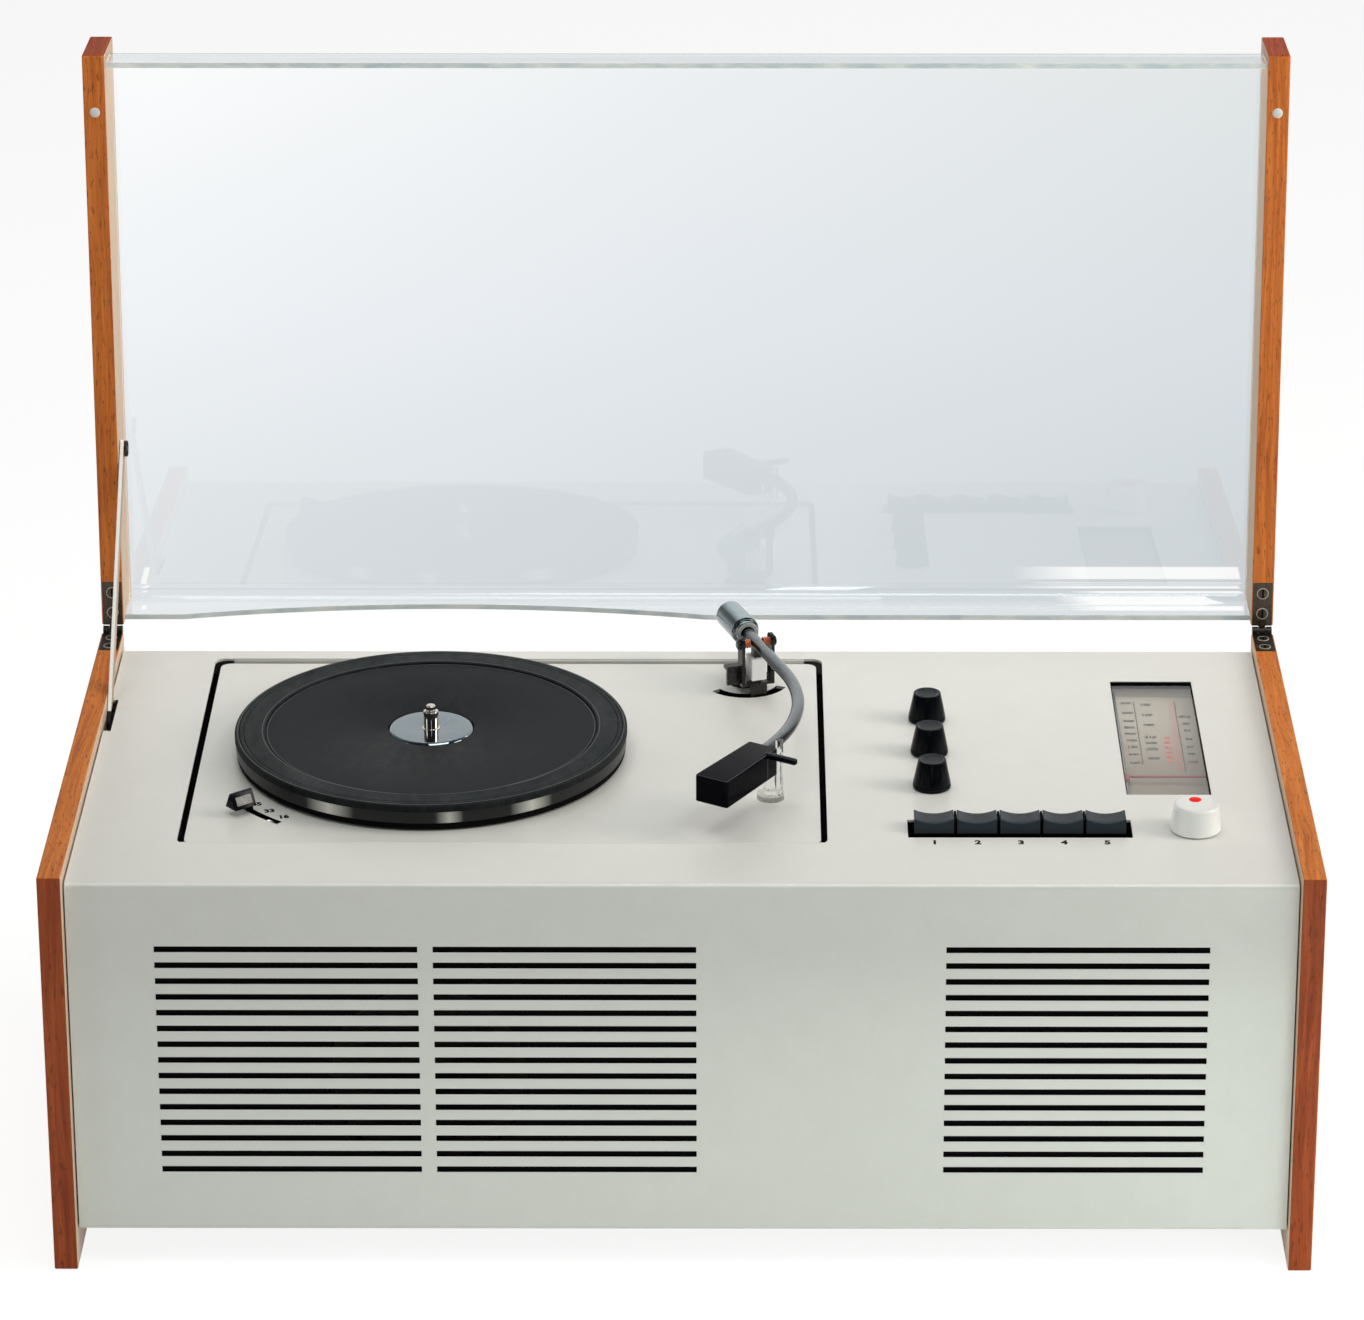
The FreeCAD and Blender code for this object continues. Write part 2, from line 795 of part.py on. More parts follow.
def speaker():
    """The loudspeaker's pressed basket with its magnet, and the paper cone in it."""
    x, z = speaker_place()
    seat = FRONT + s.sheet_thickness + s.baffle_thickness
    rim = s.speaker_radius + s.speaker_flange
    wall = s.speaker_wall
    back = s.speaker_depth
    frame = new_body("speaker_frame")
    turn(
        frame,
        [
            (0, s.speaker_radius),
            (0, rim),
            (wall, rim),
            (wall, s.speaker_radius + wall),
            (back, s.magnet_radius),
            (back + s.magnet_depth, s.magnet_radius),
            (back + s.magnet_depth, 0),
            (back - wall, 0),
            (back - wall, s.magnet_radius - wall),
        ],
        plane="YZ",
        axis="H_Axis",
    )
    place(frame, x, seat, z)
    cone = new_body("speaker_cone")
    mouth = s.speaker_radius - s.drive_clearance
    throat = s.magnet_radius - wall - s.drive_clearance
    turn(
        cone,
        [
            (0, mouth - wall),
            (0, mouth),
            (back - wall, throat),
            (back - wall, 0),
            (back - 2 * wall, 0),
            (back - 2 * wall, throat - wall),
        ],
        plane="YZ",
        axis="H_Axis",
    )
    place(cone, x, seat, z)
    return keep(frame), keep(cone)


# Record deck


def deck_outline():
    """Low X, low Y, high X and high Y of the deck plate, clear of its cut-out all round."""
    low_x, low_y, high_x, high_y = cutout()
    return low_x + s.deck_gap, low_y + s.deck_gap, high_x - s.deck_gap, high_y - s.deck_gap


def mount_places():
    """X and Y of the four rubber mounts near the deck plate's corners."""
    low_x, low_y, high_x, high_y = deck_outline()
    columns = (low_x + s.mount_inset, high_x - s.mount_inset)
    rows = (low_y + s.mount_inset, high_y - s.mount_inset)
    return [(x, y) for x in columns for y in rows]


def deck_mounts():
    """The rubber mounts that the deck plate floats on."""
    members = []
    for x, y in mount_places():
        mount = new_body("deck_mount")
        waist = s.mount_radius - s.rail_thickness / 2
        third = s.mount_height / 3
        profile = [
            (0, 0),
            (s.mount_radius, 0),
            (s.mount_radius, third),
            (waist, third),
            (waist, 2 * third),
            (s.mount_radius, 2 * third),
            (s.mount_radius, s.mount_height),
            (0, s.mount_height),
        ]
        turn(mount, profile)
        members.append(place(mount, x, y, UNDER_DECK - s.mount_height))
    return group("deck_mounts", members)


def deck_rails():
    """Two hangers that run under the cut-out and carry the mounts."""
    low_x, low_y, high_x, high_y = cutout()
    top = UNDER_DECK - s.mount_height
    wall = s.rail_thickness
    outline = [
        (low_x - s.rail_overlap, UNDER_TOP),
        (low_x - s.rail_overlap, UNDER_TOP - wall),
        (low_x - wall, UNDER_TOP - wall),
        (low_x - wall, top - wall),
        (high_x + wall, top - wall),
        (high_x + wall, UNDER_TOP - wall),
        (high_x + s.rail_overlap, UNDER_TOP - wall),
        (high_x + s.rail_overlap, UNDER_TOP),
        (high_x, UNDER_TOP),
        (high_x, top),
        (low_x, top),
        (low_x, UNDER_TOP),
    ]
    members = []
    for middle in (low_y + s.deck_gap + s.mount_inset, high_y - s.deck_gap - s.mount_inset):
        rail = new_body("deck_rail")
        extrude(rail, "XZ", middle - s.rail_width / 2, middle + s.rail_width / 2, [outline])
        members.append(place(rail))
    return group("deck_rails", members)


def arc_cutter(name, x, y, radius, width, start, sweep):
    """A ring sector that cuts a curved slot through the deck plate."""
    body = new_body(name)
    sketch = new_sketch(body, "XZ", 0)
    low = -s.deck_thickness - s.cut_overrun
    draw_polygon(sketch, rectangle(radius - width / 2, low, radius + width / 2, s.cut_overrun))
    sector = body.newObject("PartDesign::Revolution", "sector")
    sector.Profile = sketch
    sector.ReferenceAxis = (sketch, ["V_Axis"])
    bind(sector, "Angle", sweep)
    body.Tip = sector
    return place(body, x, y, DECK, Vector(0, 0, 1), start)


def pulley_x():
    """X of the motor's axis: rim, idler and pulley lie on one line through the platter's axis."""
    return idler_x() - s.idler_radius - s.pulley_radius - s.drive_clearance


def idler_x():
    """X of the idler's axis, where its tyre almost meets the inside of the platter's rim."""
    inside_rim = s.platter_radius - s.platter_rim_wall
    return PLATTER_X + inside_rim - s.idler_radius - s.drive_clearance


def deck_plate():
    """The pressed deck plate with its round holes and the two curved slots."""
    body = new_body("deck_pressing")
    low_x, low_y, high_x, high_y = deck_outline()
    extrude(body, "XY", UNDER_DECK, DECK, [rectangle(low_x, low_y, high_x, high_y)])
    upright = Vector(0, 0, 1)
    soften(body, s.cutout_corner, lambda edge: runs_along(edge, upright))
    bearing = s.journal_radius + s.running_clearance + s.bearing_wall
    holes = [
        (PLATTER_X, PLATTER_Y, bearing),
        (pulley_x(), PLATTER_Y, s.pulley_radius + s.deck_gap),
        (ARM_X, ARM_Y, s.arm_post_radius),
    ]
    extrude(body, "XY", UNDER_DECK - s.cut_overrun, DECK + s.cut_overrun, circles=holes, cut=True)
    place(body)
    lever_slot = arc_cutter(
        "lever_slot",
        PLATTER_X,
        PLATTER_Y,
        LEVER_REACH,
        s.lever_slot_width,
        s.lever_angle - s.lever_back_angle - s.lever_slot_end_angle,
        s.lever_back_angle + s.lever_forward_angle + 2 * s.lever_slot_end_angle,
    )
    arm_slot = arc_cutter(
        "arm_slot",
        ARM_X,
        ARM_Y,
        s.arm_slot_radius,
        s.arm_slot_width,
        s.arm_slot_start_angle,
        s.arm_slot_sweep_angle,
    )
    slots = document.addObject("Part::Compound", "deck_slots")
    slots.Links = [lever_slot, arm_slot]
    plate = document.addObject("Part::Cut", "deck_plate")
    plate.Base = body
    plate.Tool = slots
    plate.Label = "deck_plate"
    return keep(plate)


def spindle_bearing():
    """The bearing tube under the deck plate, closed at its foot, that carries the spindle."""
    body = new_body("spindle_bearing")
    bore = s.journal_radius + s.running_clearance
    wall = bore + s.bearing_wall
    under = -s.deck_thickness
    foot = -s.journal_depth - s.bearing_floor
    profile = [
        (0, foot),
        (wall, foot),
        (wall, under - s.bearing_flange),
        (s.bearing_flange_radius, under - s.bearing_flange),
        (s.bearing_flange_radius, under),
        (wall, under),
        (wall, s.platter_lift - s.drive_clearance),
        (bore, s.platter_lift - s.drive_clearance),
        (bore, -s.journal_depth),
        (0, -s.journal_depth),
    ]
    turn(body, profile)
    place(body, PLATTER_X, PLATTER_Y, DECK)
    return keep(body)


def platter_heights():
    """Heights above the deck plate of the platter's web: its underside and its top."""
    top = s.platter_lift + s.rim_height - s.platter_web
    return top - s.platter_web, top


def platter():
    """The pressed platter: steel rim, web and hub."""
    body = new_body("platter")
    under, top = platter_heights()
    bore = s.spindle_seat_radius
    inside = s.platter_radius - s.platter_rim_wall
    profile = [
        (bore, s.platter_lift),
        (s.hub_radius, s.platter_lift),
        (s.hub_radius, under),
        (inside, under),
        (inside, s.platter_lift),
        (s.platter_radius, s.platter_lift),
        (s.platter_radius, s.platter_lift + s.rim_height),
        (inside, s.platter_lift + s.rim_height),
        (inside, top),
        (bore, top),
    ]
    turn(body, profile)
    place(body, PLATTER_X, PLATTER_Y, DECK)
    return keep(body)


def platter_mat():
    """The rubber mat with its raised outer ring."""
    body = new_body("platter_mat")
    _, base = platter_heights()
    outer = s.platter_radius - s.platter_rim_wall - s.mat_rim_gap
    inner = s.disc_radius + s.mat_rim_gap
    ring = outer - s.mat_ring_width
    profile = [
        (inner, base),
        (outer, base),
        (outer, base + s.mat_ring_height),
        (ring, base + s.mat_ring_height),
        (ring - s.mat_ring_height + s.mat_thickness, base + s.mat_thickness),
        (inner, base + s.mat_thickness),
    ]
    turn(body, profile)
    place(body, PLATTER_X, PLATTER_Y, DECK)
    return keep(body)


def centre_disc():
    """The bright disc in the middle of the mat."""
    body = new_body("centre_disc")
    _, base = platter_heights()
    profile = [
        (s.spindle_seat_radius, base),
        (s.disc_radius, base),
        (s.disc_radius, base + s.disc_edge),
        (s.disc_radius - s.disc_edge, base + s.disc_height),
        (s.spindle_seat_radius, base + s.disc_height),
    ]
    turn(body, profile)
    place(body, PLATTER_X, PLATTER_Y, DECK)
    return keep(body)


def spindle():
    """The record spindle and, below the hub, the journal that runs in the bearing."""
    body = new_body("spindle")
    _, base = platter_heights()
    seat = base + s.disc_height
    top = seat + s.spindle_height
    shoulder = s.platter_lift
    profile = [
        (0, -s.journal_depth),
        (s.journal_radius, -s.journal_depth),
        (s.journal_radius, shoulder),
        (s.spindle_seat_radius, shoulder),
        (s.spindle_seat_radius, seat),
        (s.spindle_radius, seat),
        (s.spindle_radius, top - s.spindle_tip),
        (s.spindle_radius / 2, top),
        (0, top),
    ]
    turn(body, profile)
    place(body, PLATTER_X, PLATTER_Y, DECK)
    return keep(body)


def motor_and_drive():
    """The motor under the deck, its stepped pulley, the idler's arm with its stud, and the idler."""
    motor = new_body("turntable_motor")
    low = -s.motor_drop - s.motor_height
    can = -s.motor_drop
    bush = s.motor_shaft_radius + s.running_clearance
    neck = s.pulley_small_radius
    profile = [
        (bush, low),
        (s.motor_radius, low),
        (s.motor_radius, can),
        (neck, can),
        (neck, can + s.rail_thickness),
        (bush, can + s.rail_thickness),
    ]
    turn(motor, profile)
    post = s.motor_radius - 2 * s.motor_pillar_radius
    pillars = [(0, post, s.motor_pillar_radius), (0, -post, s.motor_pillar_radius)]
    extrude(motor, "XY", can - s.cut_overrun, -s.deck_thickness, circles=pillars)
    place(motor, pulley_x(), PLATTER_Y, DECK)
    keep(motor)

    pulley = new_body("motor_pulley")
    step = s.idler_lift - s.drive_clearance
    top = s.idler_lift + s.idler_thickness + s.drive_clearance
    foot = can + s.rail_thickness + s.drive_clearance
    profile = [
        (0, low + s.bearing_floor),
        (s.motor_shaft_radius, low + s.bearing_floor),
        (s.motor_shaft_radius, foot),
        (s.pulley_small_radius, foot),
        (s.pulley_small_radius, step),
        (s.pulley_radius, step),
        (s.pulley_radius, top),
        (0, top),
    ]
    turn(pulley, profile)
    place(pulley, pulley_x(), PLATTER_Y, DECK)
    keep(pulley)

    arm = new_body("idler_arm")
    half = s.idler_arm_width / 2
    strip = rectangle(-half, -half, half, s.idler_arm_length)
    extrude(arm, "XY", Formula("0", 0), s.idler_arm_thickness, [strip])
    stud = [(0, 0, s.idler_stud_radius)]
    extrude(arm, "XY", Formula("0", 0), s.idler_lift + s.idler_thickness, circles=stud)
    place(arm, idler_x(), PLATTER_Y, DECK)
    keep(arm)

    wheel = new_body("idler_wheel")
    bore = s.idler_stud_radius + s.running_clearance
    tyre = s.idler_radius - s.idler_thickness
    dish = s.idler_thickness / 4
    high = s.idler_lift + s.idler_thickness
    profile = [
        (bore, s.idler_lift),
        (s.idler_radius, s.idler_lift),
        (s.idler_radius, high),
        (tyre, high),
        (tyre, high - dish),
        (bore, high - dish),
    ]
    turn(wheel, profile)
    place(wheel, idler_x(), PLATTER_Y, DECK)
    keep(wheel)


def speed_lever():
    """The speed lever under the deck, turning on the bearing tube, and the cap on its stem."""
    upright = Vector(0, 0, 1)
    arm = new_body("speed_lever_arm")
    bore = s.journal_radius + s.bearing_wall + 2 * s.running_clearance
    high = -s.deck_thickness - s.bearing_flange - s.drive_clearance
    low = high - s.lever_thickness
    hub = bore + s.lever_hub_wall
    extrude(arm, "XY", low, high, circles=[(0, 0, hub)])
    half = s.lever_width / 2
    tip = LEVER_REACH + s.lever_stem_width / 2
    extrude(arm, "XY", low, high, [rectangle(bore + s.lever_hub_wall / 2, -half, tip, half)])
    extrude(arm, "XY", low - s.cut_overrun, high + s.cut_overrun, circles=[(0, 0, bore)], cut=True)
    stem = s.lever_stem_width / 2
    outline = rectangle(LEVER_REACH - stem, -stem, LEVER_REACH + stem, stem)
    extrude(arm, "XY", low, s.lever_rise, [outline])
    place(arm, PLATTER_X, PLATTER_Y, DECK, upright, s.lever_angle)
    keep(arm)

    cap = new_body("speed_lever_cap")
    across = s.lever_cap_width / 2
    ridge = s.lever_cap_ridge / 2
    section = [
        (-across, s.lever_rise),
        (across, s.lever_rise),
        (ridge, s.lever_rise + s.lever_cap_height),
        (-ridge, s.lever_rise + s.lever_cap_height),
    ]
    near = LEVER_REACH - s.lever_stem_width / 2
    extrude(cap, "YZ", near, near + s.lever_cap_length, [section])
    place(cap, PLATTER_X, PLATTER_Y, DECK, upright, s.lever_angle)
    keep(cap)


# Tone arm


def arm_point(forward, aside):
    """X and Y of a point of the arm, from its upright axis: forward along the tube, aside to its left."""
    x = ARM_X + forward * cosine(s.arm_angle) - aside * sine(s.arm_angle)
    y = ARM_Y + forward * sine(s.arm_angle) + aside * cosine(s.arm_angle)
    return x, y


def tube_point(turned):
    """Forward and aside distance of the tube's centre line where its bend has turned by an angle."""
    forward = s.gimbal_forward + s.tube_straight + s.tube_bend_radius * sine(turned)
    aside = s.tube_bend_radius * cosine(turned) - s.tube_bend_radius
    return forward, aside


def place_on_arm(body, forward, aside, height, turned=None):
    """Places a sub-part on the arm, in line with its straight stretch or turned to the right of it."""
    x, y = arm_point(forward, aside)
    angle = s.arm_angle if turned is None else s.arm_angle - turned
    return place(body, x, y, DECK + height, Vector(0, 0, 1), angle)


def arm_post():
    """The fixed post that the arm's yoke turns on."""
    body = new_body("arm_post")
    profile = [
        (0, -s.deck_thickness),
        (s.arm_post_radius, -s.deck_thickness),
        (s.arm_post_radius, 0),
        (s.arm_post_flange_radius, 0),
        (s.arm_post_flange_radius, s.arm_post_flange),
        (s.arm_collar_radius, s.arm_post_flange),
        (s.arm_collar_radius, s.yoke_lift - s.drive_clearance),
        (s.arm_post_radius, s.yoke_lift - s.drive_clearance),
        (s.arm_post_radius, s.arm_post_height),
        (0, s.arm_post_height),
    ]
    turn(body, profile)
    place(body, ARM_X, ARM_Y, DECK)
    return keep(body)


def arm_yoke():
    """The folded yoke: a floor on the post, ears for the lift pivots, a tab in the deck's slot, a blade."""
    body = new_body("arm_yoke")
    half = s.yoke_inside / 2 + s.yoke_plate
    low = s.yoke_lift
    high = low + s.yoke_plate
    back = -s.arm_post_flange_radius
    front = s.yoke_length + back
    extrude(body, "XY", low, high, [rectangle(back, -half, front, half)])
    ear_back = s.gimbal_forward - s.yoke_ear_width / 2
    ear_front = s.gimbal_forward + s.yoke_ear_width / 2
    ear_top = s.arm_height + s.yoke_ear_rise
    for low_y in (-half, half - s.yoke_plate):
        ear = rectangle(ear_back, low_y, ear_front, low_y + s.yoke_plate)
        extrude(body, "XY", low, ear_top, [ear])
    across = Vector(0, 1, 0)
    soften(
        body,
        s.yoke_ear_width * EAR_ROUND_SHARE,
        lambda edge: runs_along(edge, across) and lies_at(edge, (("z", ear_top),)),
    )
    tab = s.yoke_tab_width / 2
    inner = s.arm_slot_radius - s.yoke_plate / 2
    extrude(body, "XY", low, high, [rectangle(back, -tab, inner + s.yoke_plate, tab)])
    extrude(body, "XY", -s.deck_thickness, high, [rectangle(inner, -tab, inner + s.yoke_plate, tab)])
    blade = rectangle(ear_back, -half - s.yoke_blade_width, ear_back + s.yoke_plate, -half + s.yoke_plate)
    extrude(body, "XY", low, low + s.yoke_blade_height, [blade])
    bore = [(0, 0, s.arm_post_radius + s.running_clearance)]
    extrude(body, "XY", low - s.cut_overrun, high + s.cut_overrun, circles=bore, cut=True)
    screw = [(s.gimbal_forward, s.arm_height, s.arm_pivot_radius)]
    extrude(body, "XZ", -half - s.cut_overrun, half + s.cut_overrun, circles=screw, cut=True)
    place(body, ARM_X, ARM_Y, DECK, Vector(0, 0, 1), s.arm_angle)
    return keep(body)


def arm_pivots():
    """The two pointed screws that the arm tips on, with their heads outside the ears."""
    members = []
    for side in (-1, 1):
        body = new_body("arm_pivot")
        shoulder = s.yoke_inside / 2 + s.yoke_plate
        tip = s.carrier_width / 2 - s.arm_pivot_radius
        low, high = sides(side, tip, shoulder)
        extrude(body, "XZ", low, high, circles=[(0, 0, s.arm_pivot_radius)])
        low, high = sides(side, shoulder, shoulder + s.yoke_plate)
        extrude(body, "XZ", low, high, circles=[(0, 0, s.arm_pivot_head)])
        members.append(place_on_arm(body, s.gimbal_forward, 0, s.arm_height))
    return group("arm_pivots", members)


def arm_block():
    """The carrier round the tube, bored on both sides for the pivots, with the white block below it."""
    body = new_body("arm_block")
    half = s.carrier_width / 2
    long = s.carrier_length / 2
    extrude(body, "XY", -s.carrier_below, s.carrier_above, [rectangle(-long, -half, long, half)])
    block = rectangle(
        -s.arm_block_length / 2,
        -s.arm_block_width / 2,
        s.arm_block_length / 2,
        s.arm_block_width / 2,
    )
    foot = s.yoke_lift + s.yoke_plate + s.arm_block_air - s.arm_height
    extrude(body, "XY", foot, -s.carrier_below, [block])
    tube = [(0, 0, s.tube_radius)]
    extrude(body, "YZ", -long - s.cut_overrun, long + s.cut_overrun, circles=tube, cut=True)
    pivot = [(0, 0, s.arm_pivot_radius + s.running_clearance)]
    depth = s.arm_pivot_radius + s.running_clearance
    for side in (-1, 1):
        low, high = sides(side, half - depth, half + s.cut_overrun)
        extrude(body, "XZ", low, high, circles=pivot, cut=True)
    place_on_arm(body, s.gimbal_forward, 0, s.arm_height)
    return keep(body)


def arm_tube():
    """The arm's tube: straight through the block, then one long bend to the head shell."""
    body = new_body("arm_tube")
    extrude(body, "YZ", -s.weight_setback, s.tube_straight, circles=[(0, 0, s.tube_radius)])
    sketch = new_sketch(body, "YZ", s.tube_straight)
    draw_circle(sketch, 0, 0, s.tube_radius)
    start = Vector(-s.tube_bend_radius.number, 0, 0)
    end = Vector(-s.tube_bend_radius.number, s.tube_radius.number, 0)
    axis = sketch.addGeometry(Part.LineSegment(start, end), True)
    pin_point(sketch, axis, 1, -s.tube_bend_radius, 0)
    pin_point(sketch, axis, 2, -s.tube_bend_radius, s.tube_radius)
    bend = body.newObject("PartDesign::Revolution", "bend")
    bend.Profile = sketch
    bend.ReferenceAxis = (sketch, ["Axis0"])
    bend.Reversed = True
    bind(bend, "Angle", s.tube_turn_angle)
    body.Tip = bend
    place_on_arm(body, s.gimbal_forward, 0, s.arm_height)
    return keep(body)


def counterweight():
    """The turned counterweight on the arm's tail."""
    body = new_body("counterweight")
    front = -s.weight_setback
    back = front - s.weight_length
    profile = [
        (front, 0),
        (front, s.weight_radius - s.weight_bevel),
        (front - s.weight_bevel, s.weight_radius),
        (back + s.weight_bevel, s.weight_radius),
        (back, s.weight_radius - s.weight_bevel),
        (back, 0),
    ]
    turn(body, profile, axis="H_Axis")
    place_on_arm(body, s.gimbal_forward, 0, s.arm_height)
    return keep(body)


def shell_outline(inset):
    """Corners of the head shell seen from above, drawn in by a wall."""
    rear = s.shell_rear_width / 2 - inset
    front = s.shell_front_width / 2 - inset
    end = s.shell_length - inset
    return [(inset, -rear), (end, -front), (end, front), (inset, rear)]


def place_at_shell(body):
    """Places a sub-part at the end of the tube, in line with the head shell."""
    forward, aside = tube_point(s.tube_turn_angle)
    return place_on_arm(body, forward, aside, s.arm_height, s.tube_turn_angle)


def headshell():
    """The moulded head shell, open below."""
    body = new_body("headshell")
    top = s.shell_above_tube
    low = top - s.shell_height
    extrude(body, "XY", low, top, [shell_outline(Formula("0", 0))])
    upright = Vector(0, 0, 1)
    soften(body, s.shell_corner, lambda edge: runs_along(edge, upright))
    highest = number_of(top)
    near = s.shell_wall.number / 10
    soften(body, s.shell_wall / 2, lambda edge: abs(edge.BoundBox.ZMin - highest) < near)
    extrude(body, "XY", low - s.cut_overrun, top - s.shell_wall, [shell_outline(s.shell_wall)], cut=True)
    place_at_shell(body)
    return keep(body)


def cartridge():
    """The pick-up under the head shell's roof, with its stylus."""
    body = new_body("cartridge")
    roof = s.shell_above_tube - s.shell_wall
    half = s.cartridge_width / 2
    tip = s.shell_length - s.stylus_setback
    front = tip + 2 * s.stylus_radius
    block = rectangle(front - s.cartridge_length, -half, front, half)
    extrude(body, "XY", roof - s.cartridge_height, roof, [block])
    foot = s.shell_above_tube - s.shell_height - s.stylus_drop
    stylus = [(tip, 0, s.stylus_radius)]
    extrude(body, "XY", foot, roof - s.cartridge_height / 2, circles=stylus)
    place_at_shell(body)
    return keep(body)


def finger_lift():
    """The small lifting tab on the right of the head shell."""
    body = new_body("finger_lift")
    slope = (s.shell_front_width - s.shell_rear_width) / 2 / s.shell_length
    seat = s.shell_rear_width / 2 + (s.lift_setback + s.lift_width) * slope
    outline = rectangle(s.lift_setback, seat, s.lift_setback + s.lift_width, seat + s.lift_length)
    extrude(body, "XY", Formula("0", 0), s.lift_thickness, [outline])
    place_at_shell(body)
    return keep(body)


def arm_rest():
    """The clear rest under the tube, with one ear on the outer side."""
    body = new_body("arm_rest")
    top = s.arm_height - s.tube_radius - s.rest_gap
    extrude(body, "XY", Formula("0", 0), s.rest_base_height, circles=[(0, 0, s.rest_base_radius)])
    extrude(body, "XY", Formula("0", 0), top, circles=[(0, 0, s.rest_radius)])
    near = s.tube_radius + s.rest_gap
    foot = s.rest_base_height
    half = s.rest_radius / 2
    web = rectangle(-half, 0, half, near + s.rest_ear)
    extrude(body, "XY", foot, top, [web])
    ear = rectangle(-half, near, half, near + s.rest_ear)
    extrude(body, "XY", foot, s.arm_height + s.rest_ear_rise, [ear])
    forward, aside = tube_point(s.rest_turn_angle)
    x, y = arm_point(forward, aside)
    place(body, x, y, DECK, Vector(0, 0, 1), s.arm_angle - s.rest_turn_angle)
    return keep(body)


# Keys, knobs and dial


def key_middles():
    """The X of each key's middle."""
    first = KEYS_LEFT + s.key_end_gap + s.key_pitch / 2
    return [first + s.key_pitch * k for k in range(COUNTS["key_count"])]


def push_key(number, middle):
    """One push key: leaning front, dished top, and a stem that runs in the key frame."""
    body = new_body(f"key_{number}")
    half = (s.key_pitch - s.key_gap) / 2
    front = key_slot()[1] + s.key_front_gap
    rear = front + s.key_depth
    top = TOP + s.key_rise
    low = TOP - s.key_skirt
    section = [
        (front, low),
        (rear, low),
        (rear, TOP),
        (rear - s.key_rear_lean, top),
        (front + s.key_lean, top),
        (front, TOP),
    ]
    extrude(body, "YZ", -half, half, [section])
    radius = half * half / (2 * s.key_dish) + s.key_dish / 2
    hollow = (0, top + radius - s.key_dish, radius)
    extrude(body, "XZ", front - s.cut_overrun, rear + s.cut_overrun, circles=[hollow], cut=True)
    centre = (front + rear) / 2
    stem = rectangle(
        -s.key_stem_width / 2,
        centre - s.key_stem_depth / 2,
        s.key_stem_width / 2,
        centre + s.key_stem_depth / 2,
    )
    extrude(body, "XY", TOP - s.key_stem_drop, low, [stem])
    place(body, middle)
    return keep(body)


def key_frame():
    """The bracket under the casing that guides the keys' stems."""
    body = new_body("key_frame")
    low_x, low_y, high_x, high_y = key_slot()
    wall = s.key_frame_sheet
    floor = TOP - s.key_frame_drop
    out = s.key_frame_margin
    section = [
        (low_x - out - wall, floor - wall),
        (high_x + out + wall, floor - wall),
        (high_x + out + wall, UNDER_TOP),
        (high_x + out, UNDER_TOP),
        (high_x + out, floor),
        (low_x - out, floor),
        (low_x - out, UNDER_TOP),
        (low_x - out - wall, UNDER_TOP),
    ]
    extrude(body, "XZ", low_y, high_y, [section])
    centre = low_y + s.key_front_gap + s.key_depth / 2
    half_x = s.key_stem_width / 2 + s.key_guide_gap
    half_y = s.key_stem_depth / 2 + s.key_guide_gap
    holes = [rectangle(x - half_x, centre - half_y, x + half_x, centre + half_y) for x in key_middles()]
    extrude(body, "XY", floor - wall - s.cut_overrun, floor + s.cut_overrun, holes, cut=True)
    place(body)
    return keep(body)


def control_knob(name, y):
    """One black control knob: a cone over a grooved flange, with its shaft."""
    body = new_body(name)
    low = s.knob_air
    flange = low + s.knob_flange
    groove = flange + s.knob_groove
    waist = s.knob_base_radius - s.knob_groove_depth
    rim = s.knob_top_radius - s.knob_flange
    profile = [
        (0, -s.shaft_depth),
        (s.shaft_radius, -s.shaft_depth),
        (s.shaft_radius, low),
        (s.knob_base_radius, low),
        (s.knob_base_radius, flange),
        (waist, flange),
        (waist, groove),
        (s.knob_base_radius, groove),
        (s.knob_top_radius, s.knob_height),
        (rim, s.knob_height),
        (rim, s.knob_height - s.knob_dish),
        (0, s.knob_height - s.knob_dish),
    ]
    turn(body, profile)
    place(body, knob_places()[0], y, TOP)
    return keep(body)


def tuning_knob():
    """The white tuning knob with its shaft."""
    body = new_body("tuning_knob")
    low = s.knob_air
    profile = [
        (0, -s.shaft_depth),
        (s.shaft_radius, -s.shaft_depth),
        (s.shaft_radius, low),
        (s.tuning_base_radius, low),
        (s.tuning_top_radius, low + s.tuning_height),
        (0, low + s.tuning_height),
    ]
    turn(body, profile)
    top = number_of(low + s.tuning_height)
    near = s.tuning_edge.number / 10
    soften(body, s.tuning_edge, lambda edge: abs(edge.BoundBox.ZMin - top) < near)
    place(body, TUNING_X, TUNING_Y, TOP)
    return keep(body)


def control_bushes():
    """The controls under the casing: their bushes stand in its holes and carry the shafts."""
    knob_x, rows = knob_places()
    places = [(knob_x, y) for y in rows] + [(TUNING_X, TUNING_Y)]
    members = []
    for x, y in places:
        body = new_body("control")
        bore = s.shaft_radius + s.running_clearance
        under = -s.sheet_thickness
        can = under - s.bush_shoulder_height
        low = can - s.control_can_height
        profile = [
            (bore, low),
            (s.control_can_radius, low),
            (s.control_can_radius, can),
            (s.bush_shoulder, can),
            (s.bush_shoulder, under),
            (s.bush_radius, under),
            (s.bush_radius, 0),
            (bore, 0),
        ]
        turn(body, profile)
        members.append(place(body, x, y, TOP))
    return group("control_bushes", members)


def dial_tray():
    """Low X, low Y, high X and high Y of the dial's tray, wider than its window."""
    low_x, low_y, high_x, high_y = dial_window()
    return (
        low_x - s.dial_margin,
        low_y - s.dial_margin,
        high_x + s.dial_margin,
        high_y + s.dial_margin,
    )


